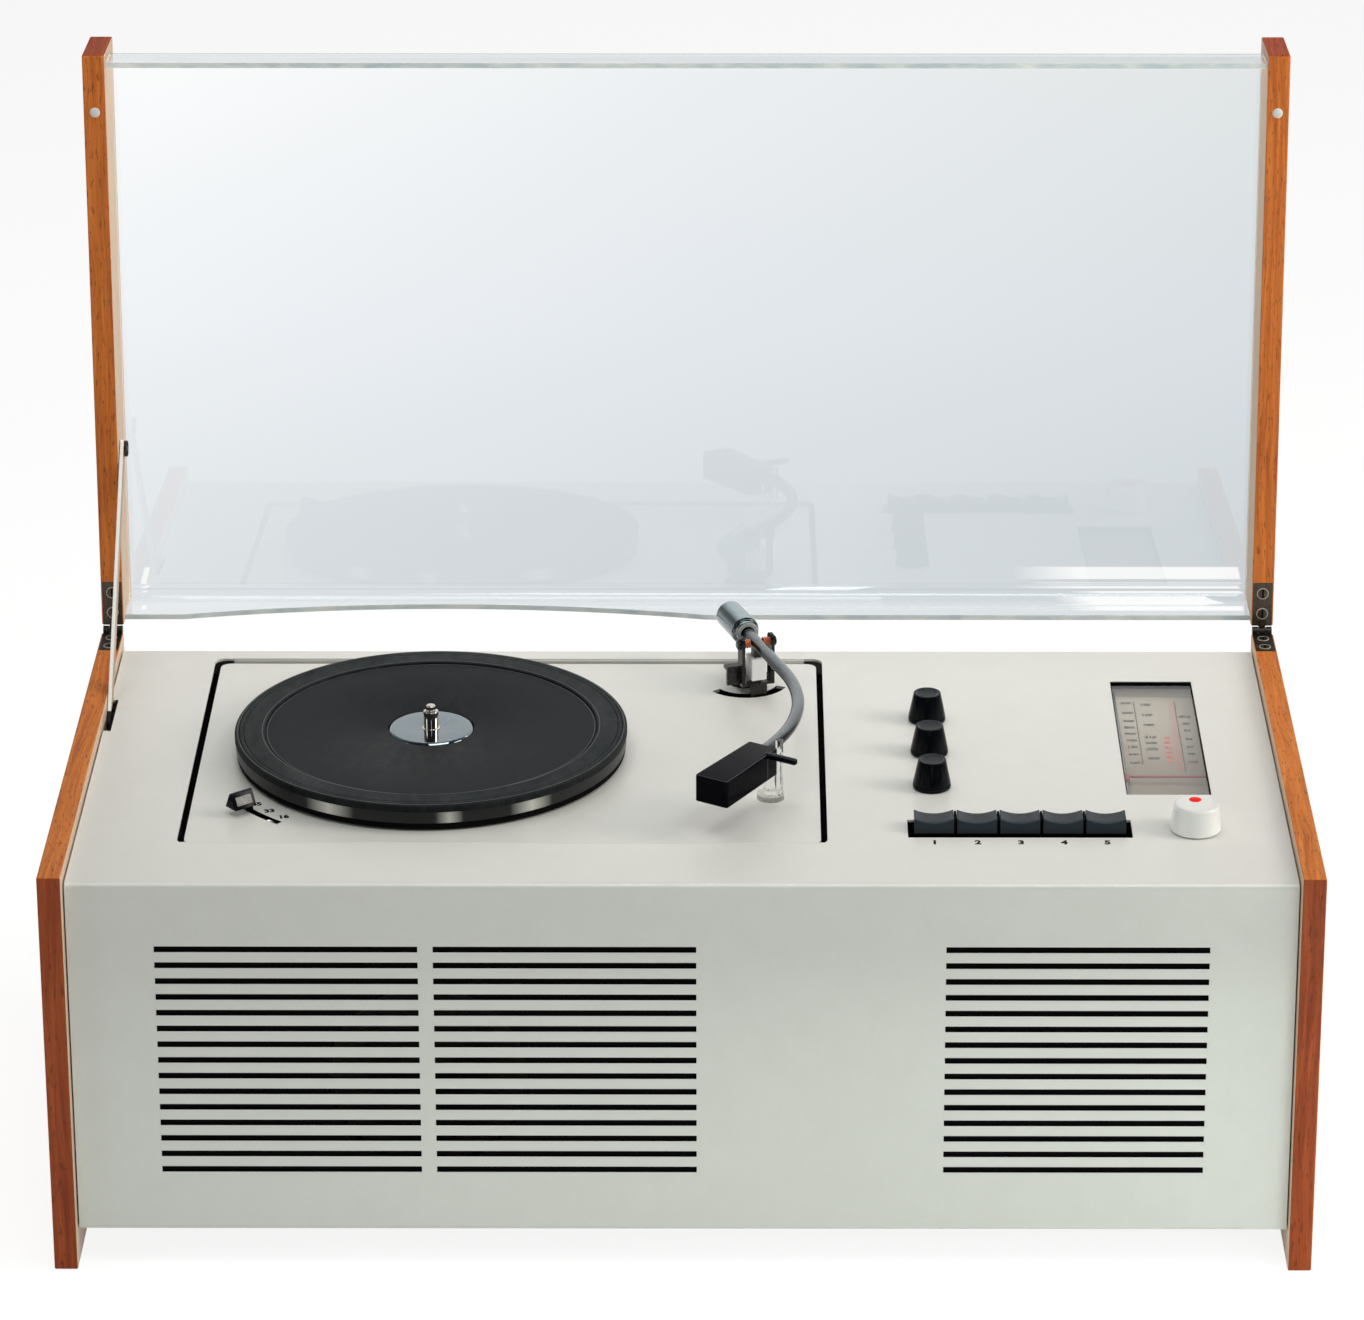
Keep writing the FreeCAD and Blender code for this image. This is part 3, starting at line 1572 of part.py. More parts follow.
def dial():
    """The dial: its glass under the casing, the scale's tray below it, the pointer and its rail."""
    low_x, low_y, high_x, high_y = dial_tray()
    under_glass = UNDER_TOP - s.dial_glass
    glass = new_body("dial_glass")
    extrude(glass, "XY", under_glass, UNDER_TOP, [rectangle(low_x, low_y, high_x, high_y)])
    keep(place(glass))

    floor = under_glass - s.dial_depth
    wall = s.dial_wall
    tray = new_body("dial_plate")
    extrude(tray, "XY", floor - wall, under_glass, [rectangle(low_x, low_y, high_x, high_y)])
    hollow = rectangle(low_x + wall, low_y + wall, high_x - wall, high_y - wall)
    extrude(tray, "XY", floor, under_glass + s.cut_overrun, [hollow], cut=True)
    keep(place(tray))

    rail_x = low_x + wall + s.rail_rod_radius + 2 * s.rail_rod_wall
    rail_z = floor + s.pointer_lift
    rail = new_body("pointer_rail")
    rod = [(rail_x, rail_z, s.rail_rod_radius)]
    extrude(rail, "XZ", low_y + wall, high_y - wall, circles=rod)
    keep(place(rail))

    pointer = new_body("dial_pointer")
    middle = low_y + s.dial_margin + s.pointer_front
    slide = s.pointer_slide / 2
    shoe = s.rail_rod_radius + s.rail_rod_wall
    block = rectangle(rail_x - shoe, rail_z - shoe, rail_x + shoe, rail_z + shoe)
    low = middle - slide
    high = middle + slide
    extrude(pointer, "XZ", low, high, [block])
    needle = rectangle(
        rail_x,
        rail_z + shoe - s.pointer_height,
        high_x - wall - s.pointer_side_gap,
        rail_z + shoe,
    )
    extrude(pointer, "XZ", middle - s.pointer_width / 2, middle + s.pointer_width / 2, [needle])
    bore = [(rail_x, rail_z, s.rail_rod_radius + s.running_clearance)]
    extrude(pointer, "XZ", low - s.cut_overrun, high + s.cut_overrun, circles=bore, cut=True)
    keep(place(pointer))


# Works on the base plate


def radio_chassis():
    """The receiver's folded chassis, open below."""
    body = new_body("radio_chassis")
    low_x = CHASSIS_LEFT
    low_y = FRONT + s.chassis_front
    high_x = low_x + s.chassis_width
    high_y = low_y + s.chassis_depth
    wall = s.chassis_sheet
    extrude(body, "XY", FLOOR, FLOOR + s.chassis_height, [rectangle(low_x, low_y, high_x, high_y)])
    hollow = rectangle(low_x + wall, low_y + wall, high_x - wall, high_y - wall)
    extrude(body, "XY", FLOOR - s.cut_overrun, FLOOR + s.chassis_height - wall, [hollow], cut=True)
    place(body)
    return keep(body)


def valves():
    """The row of glass valves along the back of the chassis."""
    first = CHASSIS_LEFT + s.valve_inset
    y = FRONT + s.chassis_front + s.chassis_depth - s.valve_inset
    neck = s.valve_radius / 2
    members = []
    for k in range(COUNTS["valve_count"]):
        body = new_body("valve")
        shoulder = s.valve_height - s.valve_radius
        profile = [
            (0, 0),
            (s.valve_radius, 0),
            (s.valve_radius, shoulder),
            (neck, s.valve_height - neck),
            (neck / 2, s.valve_height),
            (0, s.valve_height),
        ]
        turn(body, profile)
        groove = [
            (s.valve_radius - s.chassis_sheet, s.valve_base),
            (s.valve_radius + s.cut_overrun, s.valve_base),
            (s.valve_radius + s.cut_overrun, s.valve_base + s.chassis_sheet),
            (s.valve_radius - s.chassis_sheet, s.valve_base + s.chassis_sheet),
        ]
        turn(body, groove, cut=True)
        members.append(place(body, first + s.valve_pitch * k, y, FLOOR + s.chassis_height))
    return group("valves", members)


def mains_transformer():
    """The mains transformer: a laminated core with the coil standing out of both faces."""
    body = new_body("mains_transformer")
    low_x = s.transformer_left - CASING_X
    low_y = FRONT + s.transformer_front
    high_x = low_x + s.transformer_width
    core = rectangle(low_x, low_y + s.coil_bulge, high_x, low_y + s.transformer_depth - s.coil_bulge)
    extrude(body, "XY", FLOOR, FLOOR + s.transformer_height, [core])
    middle = FLOOR + s.transformer_height / 2
    coil = rectangle(
        low_x + s.coil_bulge,
        middle - s.coil_height / 2,
        high_x - s.coil_bulge,
        middle + s.coil_height / 2,
    )
    extrude(body, "XZ", low_y, low_y + s.transformer_depth, [coil])
    place(body)
    return keep(body)


def tuning_capacitor():
    """The ganged tuning capacitor at the front of the chassis."""
    body = new_body("tuning_capacitor")
    high_x = CHASSIS_LEFT + s.chassis_width - s.valve_inset / 2
    low_y = FRONT + s.chassis_front + s.valve_inset / 2
    low_z = FLOOR + s.chassis_height
    frame = rectangle(
        high_x - s.capacitor_width, low_y, high_x, low_y + s.capacitor_depth
    )
    extrude(body, "XY", low_z, low_z + s.capacitor_height, [frame])
    wall = 2 * s.chassis_sheet
    half = (s.capacitor_depth - 3 * wall) / 2
    for start in (low_y + wall, low_y + 2 * wall + half):
        bay = rectangle(
            high_x - s.capacitor_width - s.cut_overrun, start, high_x - wall, start + half
        )
        extrude(body, "XY", low_z + wall, low_z + s.capacitor_height + s.cut_overrun, [bay], cut=True)
    place(body)
    return keep(body)


def mains_gland():
    """The moulded gland in the back wall."""
    body = new_body("mains_gland")
    wall = s.sheet_thickness
    profile = [
        (-wall, s.gland_bore),
        (-wall, s.gland_radius),
        (0, s.gland_radius),
        (0, s.gland_flange),
        (s.gland_flange_length, s.gland_flange - s.gland_flange_length / 2),
        (s.gland_flange_length, s.gland_bore),
    ]
    turn(body, profile, plane="YZ", axis="H_Axis")
    place(body, GLAND_X, REAR, FLOOR + s.gland_rise)
    return keep(body)


# Hinges, lid and stay


def place_on_lid(body):
    """Places a sub-part that is drawn on the closed lid, from the hinge's axis, as the lid stands open."""
    return place(body, 0, HINGE_Y, HINGE_Z, Vector(-1, 0, 0), s.lid_angle)


def hinge_leaf(body, side, seat, thickness, own, other):
    """A leaf along its board's edge, its knuckles round the hinge's axis, and room for the other leaf's."""
    low_x, high_x = leaf_span(side)
    edge = -s.knuckle_radius - s.leaf_air
    end = -HINGE_OFFSET - s.leaf_length
    extrude(body, "YZ", low_x, high_x, [rectangle(end, seat, edge, seat + thickness)])
    for start, stop in own:
        first = low_x + s.leaf_width * start
        last = low_x + s.leaf_width * stop
        extrude(body, "YZ", first, last, [rectangle(edge, seat, 0, seat + thickness)])
        extrude(body, "YZ", first, last, circles=[(0, 0, s.knuckle_radius)])
    for start, stop in other:
        first = low_x + s.leaf_width * start - s.knuckle_air
        last = low_x + s.leaf_width * stop + s.knuckle_air
        extrude(body, "YZ", first, last, circles=[(0, 0, s.knuckle_radius + s.leaf_air / 2)], cut=True)


def base_hinge_leaves():
    """The fixed halves of the hinges, let into the end boards, with their pins."""
    middle_start, middle_end = KNUCKLE_SHARES
    members = []
    for side in (-1, 1):
        body = new_body("base_hinge_leaf")
        seat = -s.lid_gap / 2 - s.leaf_thickness
        own = ((0, middle_start), (middle_end, 1))
        hinge_leaf(body, side, seat, s.leaf_thickness, own, ((middle_start, middle_end),))
        low_x, high_x = leaf_span(side)
        extrude(body, "YZ", low_x, high_x, circles=[(0, 0, s.hinge_pin_radius)])
        members.append(place(body, 0, HINGE_Y, HINGE_Z))
    return group("base_hinge_leaves", members)


def lid_hinge_leaves():
    """The moving halves of the hinges, let into the lid boards."""
    middle_start, middle_end = KNUCKLE_SHARES
    members = []
    for side in (-1, 1):
        body = new_body("lid_hinge_leaf")
        other = ((0, middle_start), (middle_end, 1))
        hinge_leaf(body, side, s.lid_gap / 2, s.leaf_thickness, ((middle_start, middle_end),), other)
        low_x, high_x = leaf_span(side)
        bore = [(0, 0, s.hinge_pin_radius + s.running_clearance)]
        extrude(body, "YZ", low_x - s.cut_overrun, high_x + s.cut_overrun, circles=bore, cut=True)
        members.append(place_on_lid(body))
    return group("lid_hinge_leaves", members)


def lid_board(name, side):
    """One end board of the lid, with the seats of its hinge leaf and of its buffer."""
    body = new_body(name)
    low, high = sides(side, INSIDE, s.cabinet_width / 2)
    edge = s.lid_gap / 2
    extrude(body, "YZ", low, high, [rectangle(-LID_REACH, edge, -HINGE_OFFSET, edge + s.lid_height)])
    soften(body, s.board_edge_radius, lambda one: True)
    leaf_low, leaf_high = leaf_span(side)
    seat = rectangle(
        -HINGE_OFFSET - s.leaf_length - s.leaf_seat_gap,
        edge - s.cut_overrun,
        s.cut_overrun - HINGE_OFFSET,
        edge + s.leaf_thickness,
    )
    extrude(body, "YZ", leaf_low - s.leaf_seat_gap, leaf_high + s.leaf_seat_gap, [seat], cut=True)
    place_on_lid(body)
    return keep(body)


def lid_buffers():
    """The rubber buffers under the front ends of the lid boards."""
    members = []
    for side in (-1, 1):
        body = new_body("lid_buffer")
        edge = s.lid_gap / 2
        middle = side * (INSIDE + s.board_thickness / 2)
        centre = (middle, s.buffer_inset - LID_REACH, s.buffer_radius)
        extrude(body, "XY", edge - s.buffer_proud, edge, circles=[centre])
        members.append(place_on_lid(body))
    return group("lid_buffers", members)


def lid_sheet():
    """The bent clear sheet: roof, front lip and rear lip, with the arch that clears a large record."""
    body = new_body("lid_sheet")
    reach = INSIDE - s.lid_sheet_side_gap
    wall = s.lid_sheet_thickness
    front = s.lip_inset - LID_REACH
    rear = -HINGE_OFFSET - s.rear_lip_inset
    edge = s.lid_gap / 2 + s.lip_rise
    roof = s.lid_gap / 2 + s.lid_height - s.lid_sheet_drop
    profile = [
        (front, edge),
        (front, roof),
        (rear, roof),
        (rear, edge),
        (rear - wall, edge),
        (rear - wall, roof - wall),
        (front + wall, roof - wall),
        (front + wall, edge),
    ]
    extrude(body, "YZ", -reach, reach, [profile])
    across = Vector(1, 0, 0)
    inner = [(front + wall, roof - wall), (rear - wall, roof - wall)]
    outer = [(front, roof), (rear, roof)]
    for corners, radius in ((inner, s.lid_sheet_bend), (outer, s.lid_sheet_bend + wall)):
        soften(
            body,
            radius,
            lambda one: runs_along(one, across)
            and any(lies_at(one, (("y", y), ("z", z))) for y, z in corners),
        )
    half = s.record_gap_chord / 2
    radius = half * half / (2 * s.record_gap_depth) + s.record_gap_depth / 2
    arch = (PLATTER_X, edge + s.record_gap_depth - radius, radius)
    extrude(body, "XZ", rear - 2 * wall, rear + s.cut_overrun, circles=[arch], cut=True)
    place_on_lid(body)
    return keep(body)


def stay_pivot_place():
    """Y and Z of the stay's pivot on the closed lid, from the hinge's axis."""
    return -s.stay_reach, s.lid_gap / 2 + s.stay_rise


def stay_pivot():
    """The shouldered screw that holds the stay to the left lid board."""
    body = new_body("stay_pivot")
    y, z = stay_pivot_place()
    head = s.stay_air + s.stay_thickness + s.drive_clearance - INSIDE
    extrude(body, "YZ", -INSIDE, head, circles=[(y, z, s.stay_screw_radius)])
    extrude(body, "YZ", head, head + s.stay_head, circles=[(y, z, s.stay_head_radius)])
    place_on_lid(body)
    return keep(body)


def stay_bar():
    """The flat stay, hung on its pivot and led through the notch at the casing's left edge."""
    body = new_body("stay_bar")
    half = s.stay_width / 2
    low_x = s.stay_air - INSIDE
    high_x = low_x + s.stay_thickness
    outline = rectangle(-half, -s.stay_length, half, half)
    extrude(body, "YZ", low_x, high_x, [outline])
    across = Vector(1, 0, 0)
    soften(body, half - half / 4, lambda edge: runs_along(edge, across))
    hole = [(0, 0, s.stay_screw_radius + s.running_clearance)]
    extrude(body, "YZ", low_x - s.cut_overrun, high_x + s.cut_overrun, circles=hole, cut=True)
    lug = [(0, s.stay_lug_inset - s.stay_length, s.stay_screw_radius)]
    extrude(body, "YZ", low_x, high_x + s.stay_lug, circles=lug)
    y, z = stay_pivot_place()
    pivot_y = HINGE_Y + y * cosine(s.lid_angle) + z * sine(s.lid_angle)
    pivot_z = HINGE_Z - y * sine(s.lid_angle) + z * cosine(s.lid_angle)
    notch_y = FRONT + s.notch_front + s.notch_length - s.notch_end_gap
    tilt = bearing_of(pivot_y - notch_y, pivot_z - TOP)
    place(body, 0, pivot_y, pivot_z, Vector(-1, 0, 0), tilt)
    print("stay pivot y, z and tilt:", pivot_y.number, pivot_z.number, tilt.number)
    return keep(body)


def build():
    """Builds every sub-part of the radiogram."""
    side_board("left_side_board", -1)
    side_board("right_side_board", 1)
    casing()
    base_plate()
    speaker_baffle()
    speaker()
    deck_rails()
    deck_mounts()
    deck_plate()
    spindle_bearing()
    platter()
    platter_mat()
    centre_disc()
    spindle()
    motor_and_drive()
    speed_lever()
    arm_post()
    arm_yoke()
    arm_pivots()
    arm_block()
    arm_tube()
    counterweight()
    headshell()
    cartridge()
    finger_lift()
    arm_rest()
    for number, middle in enumerate(key_middles(), start=1):
        push_key(number, middle)
    key_frame()
    for name, y in zip(("treble_knob", "bass_knob", "volume_knob"), knob_places()[1]):
        control_knob(name, y)
    tuning_knob()
    control_bushes()
    dial()
    radio_chassis()
    valves()
    mains_transformer()
    tuning_capacitor()
    mains_gland()
    base_hinge_leaves()
    lid_hinge_leaves()
    lid_board("left_lid_board", -1)
    lid_board("right_lid_board", 1)
    lid_buffers()
    lid_sheet()
    stay_pivot()
    stay_bar()
    document.recompute()


def write_parts():
    """Checks that every object is sound, then writes each node's solid to its own file."""
    failed = [o.Label for o in document.Objects if {"Invalid", "Error"} & set(o.State)]
    unsound = [n.Label for n in nodes if n.Shape.isNull() or not n.Shape.isValid() or not n.Shape.Solids]
    if failed or unsound:
        raise RuntimeError(f"failed objects: {failed}; unsound nodes: {unsound}")
    os.makedirs("parts", exist_ok=True)
    for node in nodes:
        node.Shape.exportStep(f"parts/{node.Label}.step")
    print("nodes written:", len(nodes))


build()
write_parts()
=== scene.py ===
# %% [markdown]
# # A table radiogram, dressed for its photograph
#
# A record deck and a radio share one folded sheet-metal casing, held between two wooden end boards
# under a hinged acrylic lid. The solids already say where everything is. This lesson gives them their
# finishes, and replaces the pieces that the eye rests on (turned metal, moulded plastic, bent acrylic)
# with surfaces worked out as whole arrays of points.

# %% Load the frame
import math

import bmesh
import bpy
import numpy as np
from mathutils import Matrix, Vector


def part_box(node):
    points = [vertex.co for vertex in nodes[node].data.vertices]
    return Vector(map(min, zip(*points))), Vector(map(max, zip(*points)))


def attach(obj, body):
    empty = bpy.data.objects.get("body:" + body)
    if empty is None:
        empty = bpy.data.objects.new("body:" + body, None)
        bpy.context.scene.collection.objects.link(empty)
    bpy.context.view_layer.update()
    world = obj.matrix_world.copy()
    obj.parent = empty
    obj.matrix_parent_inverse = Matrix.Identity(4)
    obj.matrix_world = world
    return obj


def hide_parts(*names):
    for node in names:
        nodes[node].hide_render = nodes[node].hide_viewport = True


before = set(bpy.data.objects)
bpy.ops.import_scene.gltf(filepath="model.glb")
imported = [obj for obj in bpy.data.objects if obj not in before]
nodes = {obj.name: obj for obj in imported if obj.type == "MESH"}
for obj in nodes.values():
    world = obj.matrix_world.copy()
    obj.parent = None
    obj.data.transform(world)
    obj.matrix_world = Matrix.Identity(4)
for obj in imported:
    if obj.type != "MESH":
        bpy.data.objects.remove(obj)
bpy.context.view_layer.update()
scene = bpy.context.scene
MM = 0.001

# %% [markdown]
# ## Places
#
# Every piece goes where its solid is. Places could be typed in, but then a change to the solids would leave
# the pieces behind, so most of them come from the boxes of the solids. Measures that no box tells, such as
# the dial's floor or the radius of a hinge's knuckle, are written out.

# %% Places taken from the solids


def corners(node):
    """The node's lowest and highest corner, as two arrays in metres."""
    low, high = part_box(node)
    return np.array(low), np.array(high)


def centre(node):
    """The middle of the node's box: half of the lowest corner plus the highest."""
    low, high = corners(node)
    return (low + high) / 2


DECK = corners("deck_plate")[1][2]
TOP = corners("casing")[1][2]
DIAL_FLOOR = 184.7 * MM
KNUCKLE = 2.2 * MM
HINGE = np.array((0.0, corners("base_hinge_leaves")[1][1] - KNUCKLE, centre("base_hinge_leaves")[2]))
LID_TURN = math.radians(93)
PLATTER = centre("platter")
ARM = centre("arm_post")
GIMBAL = centre("arm_pivots")
print("deck", round(DECK / MM, 2), "top", round(TOP / MM, 2), "hinge line", np.round(HINGE / MM, 2))

# %% [markdown]
# ## Camera
#
# A long lens from well above the deck, a little right of the middle. The picture was cut from a larger
# frame, so the lens is shifted rather than turned: a turn would make the upright boards lean.

# %% Camera
PHOTO_WIDTH, PHOTO_HEIGHT = 1364, 1320
LENS_CENTRE = (720, 560)
FOCAL_PIXELS = 5829.8
CAMERA_PLACE = (0.0272, -2.5699, 1.3077)
YAW, PITCH, ROLL = np.radians((-0.231, 21.683, -0.035))

lens = bpy.data.cameras.new("camera")
lens.sensor_width = 36.0
lens.lens = FOCAL_PIXELS / PHOTO_WIDTH * lens.sensor_width
lens.shift_x = (PHOTO_WIDTH / 2 - LENS_CENTRE[0]) / PHOTO_WIDTH
lens.shift_y = (LENS_CENTRE[1] - PHOTO_HEIGHT / 2) / PHOTO_WIDTH
lens.clip_end = 50.0
level = np.array((math.sin(YAW), math.cos(YAW), 0.0))
side = np.array((math.cos(YAW), -math.sin(YAW), 0.0))
upward = np.array((0.0, 0.0, 1.0))
ahead = level * math.cos(PITCH) - upward * math.sin(PITCH)
above = level * math.sin(PITCH) + upward * math.cos(PITCH)
across = side * math.cos(ROLL) + above * math.sin(ROLL)
overhead = above * math.cos(ROLL) - side * math.sin(ROLL)
camera = bpy.data.objects.new("camera", lens)
pose = np.eye(4)
pose[:3, :] = np.stack((across, overhead, -ahead, CAMERA_PLACE), axis=1)
camera.matrix_world = Matrix(pose.tolist())
scene.collection.objects.link(camera)
scene.camera = camera
scene.view_settings.view_transform = "Standard"
print("lens", round(lens.lens, 2), "mm, shift", round(lens.shift_x, 4), round(lens.shift_y, 4))

# %% [markdown]
# ## Nodes for the finishes
#
# Each finish is a small tree of nodes on one surface shader. Trees could be drawn by hand in the editor;
# these helpers write them as short sums instead, which can be read again later.

# %% Node helpers


def put(tree, kind, feeds=None, **settings):
    """Adds one shader node; feeds gives each input a number or another node's output."""
    made = tree.nodes.new("ShaderNode" + kind)
    for name, value in settings.items():
        setattr(made, name, value)
    for socket, value in (feeds or {}).items():
        if isinstance(value, bpy.types.NodeSocket):
            tree.links.new(value, made.inputs[socket])
        else:
            made.inputs[socket].default_value = value
    return made


def begin(name):
    """A new material with its node tree and its surface shader."""
    material = bpy.data.materials.new(name)
    material.use_nodes = True
    return material, material.node_tree, material.node_tree.nodes["Principled BSDF"]


def math_of(tree, operation, first, second=0.0):
    """One sum on numbers: operation(first, second)."""
    return put(tree, "Math", {0: first, 1: second}, operation=operation).outputs[0]


def parts_of(tree, vector):
    """The x, y and z of a vector, as three outputs."""
    return put(tree, "SeparateXYZ", {0: vector}).outputs


def sizes_of(tree, vector):
    """The vector with each of its parts made positive."""
    return put(tree, "VectorMath", {0: vector}, operation="ABSOLUTE").outputs[0]


def stretched(tree, vector, scale, turn=(0, 0, 0)):
    """The vector turned about the axes, then multiplied by scale along each."""
    return put(tree, "Mapping", {"Vector": vector, "Scale": scale, "Rotation": turn}).outputs[0]


def cloud(tree, vector, scale, detail=4.0, roughness=0.55):
    """Soft noise from 0 to 1, with scale bumps in a metre."""
    feeds = {"Vector": vector, "Scale": scale, "Detail": detail, "Roughness": roughness}
    return put(tree, "TexNoise", feeds).outputs[0]


def ramp(tree, factor, stops):
    """Colour by factor: straight lines between the (place, colour) stops."""
    made = put(tree, "ValToRGB", {0: factor})
    band = made.color_ramp.elements
    while len(band) < len(stops):
        band.new(0.5)
    for element, (place, colour) in zip(band, stops):
        element.position = place
        element.color = (*colour, 1.0)
    return made.outputs[0]


def span(tree, factor, low, high, start=0.3, end=0.7):
    """Number by factor: low at start, high at end, a straight line between."""
    feeds = {0: factor, 1: start, 2: end, 3: low, 4: high}
    return put(tree, "MapRange", feeds).outputs[0]


def mixed(tree, factor, first, second, way="MIX"):
    """Two colours laid over one another: first where factor is 0, second where it is 1."""
    return put(tree, "MixRGB", {0: factor, 1: first, 2: second}, blend_type=way).outputs[0]


def dented(tree, height, depth):
    """A surface direction tilted by the slope of height, depth metres deep."""
    return put(tree, "Bump", {"Height": height, "Distance": depth, "Strength": 1.0}).outputs[0]


def shader_mix(tree, factor, first, second):
    """Two shader nodes in one: the first where factor is 0, the second where it is 1."""
    return put(tree, "MixShader", {0: factor, 1: first.outputs[0], 2: second.outputs[0]})


print("node helpers ready")

# %% [markdown]
# ## Finishes
#
# Most of the radiogram is painted, plated or moulded. Each could have a tree of its own, but one recipe
# covers them: two close tones mixed by soft noise, a roughness that wanders between two values, and a fine
# dent. Brushed metal stretches the noise along one axis. Tints darken or lighten what faces one way or lies
# past a height. Most of them are painted light: painted highlights on rounded edges, painted reflections on
# chrome, and painted shade on sides, below the casing's top and in the dial's tray.

# %% The common recipe
BROADER = 14


def finish(name, dark, light, grain, rough, stretch=(1, 1, 1), dent=0.0, tints=(), **sockets):
    """Colour = dark to light by half fine noise(place x stretch x grain) and half broader, then each tint.

    A tint (kind, axis, start, end, colour) is a straight change to its colour, by the place along the axis
    or by how far the surface faces along it."""
    material, tree, skin = begin(name)
    source = put(tree, "TexCoord")
    origin = source.outputs["Object"]
    place = stretched(tree, origin, stretch)
    fine = cloud(tree, place, grain)
    broad = cloud(tree, place, grain / BROADER, 2.0)
    both = math_of(tree, "MULTIPLY_ADD", fine, 0.5)
    tree.links.new(math_of(tree, "MULTIPLY", broad, 0.5), both.node.inputs[2])
    colour = ramp(tree, both, ((0.36, dark), (0.64, light)))
    kinds = {"place": origin, "facing": sizes_of(tree, source.outputs["Normal"])}
    for kind, axis, start, end, far in tints:
        share = span(tree, parts_of(tree, kinds[kind])[axis], 0.0, 1.0, start, end)
        colour = mixed(tree, share, colour, (*far, 1.0))
    tree.links.new(colour, skin.inputs["Base Color"])
    tree.links.new(span(tree, both, *rough), skin.inputs["Roughness"])
    if dent:
        tree.links.new(dented(tree, fine, dent), skin.inputs["Normal"])
    for socket, value in sockets.items():
        skin.inputs[socket.replace("_", " ")].default_value = value
    return material


print("recipe ready")

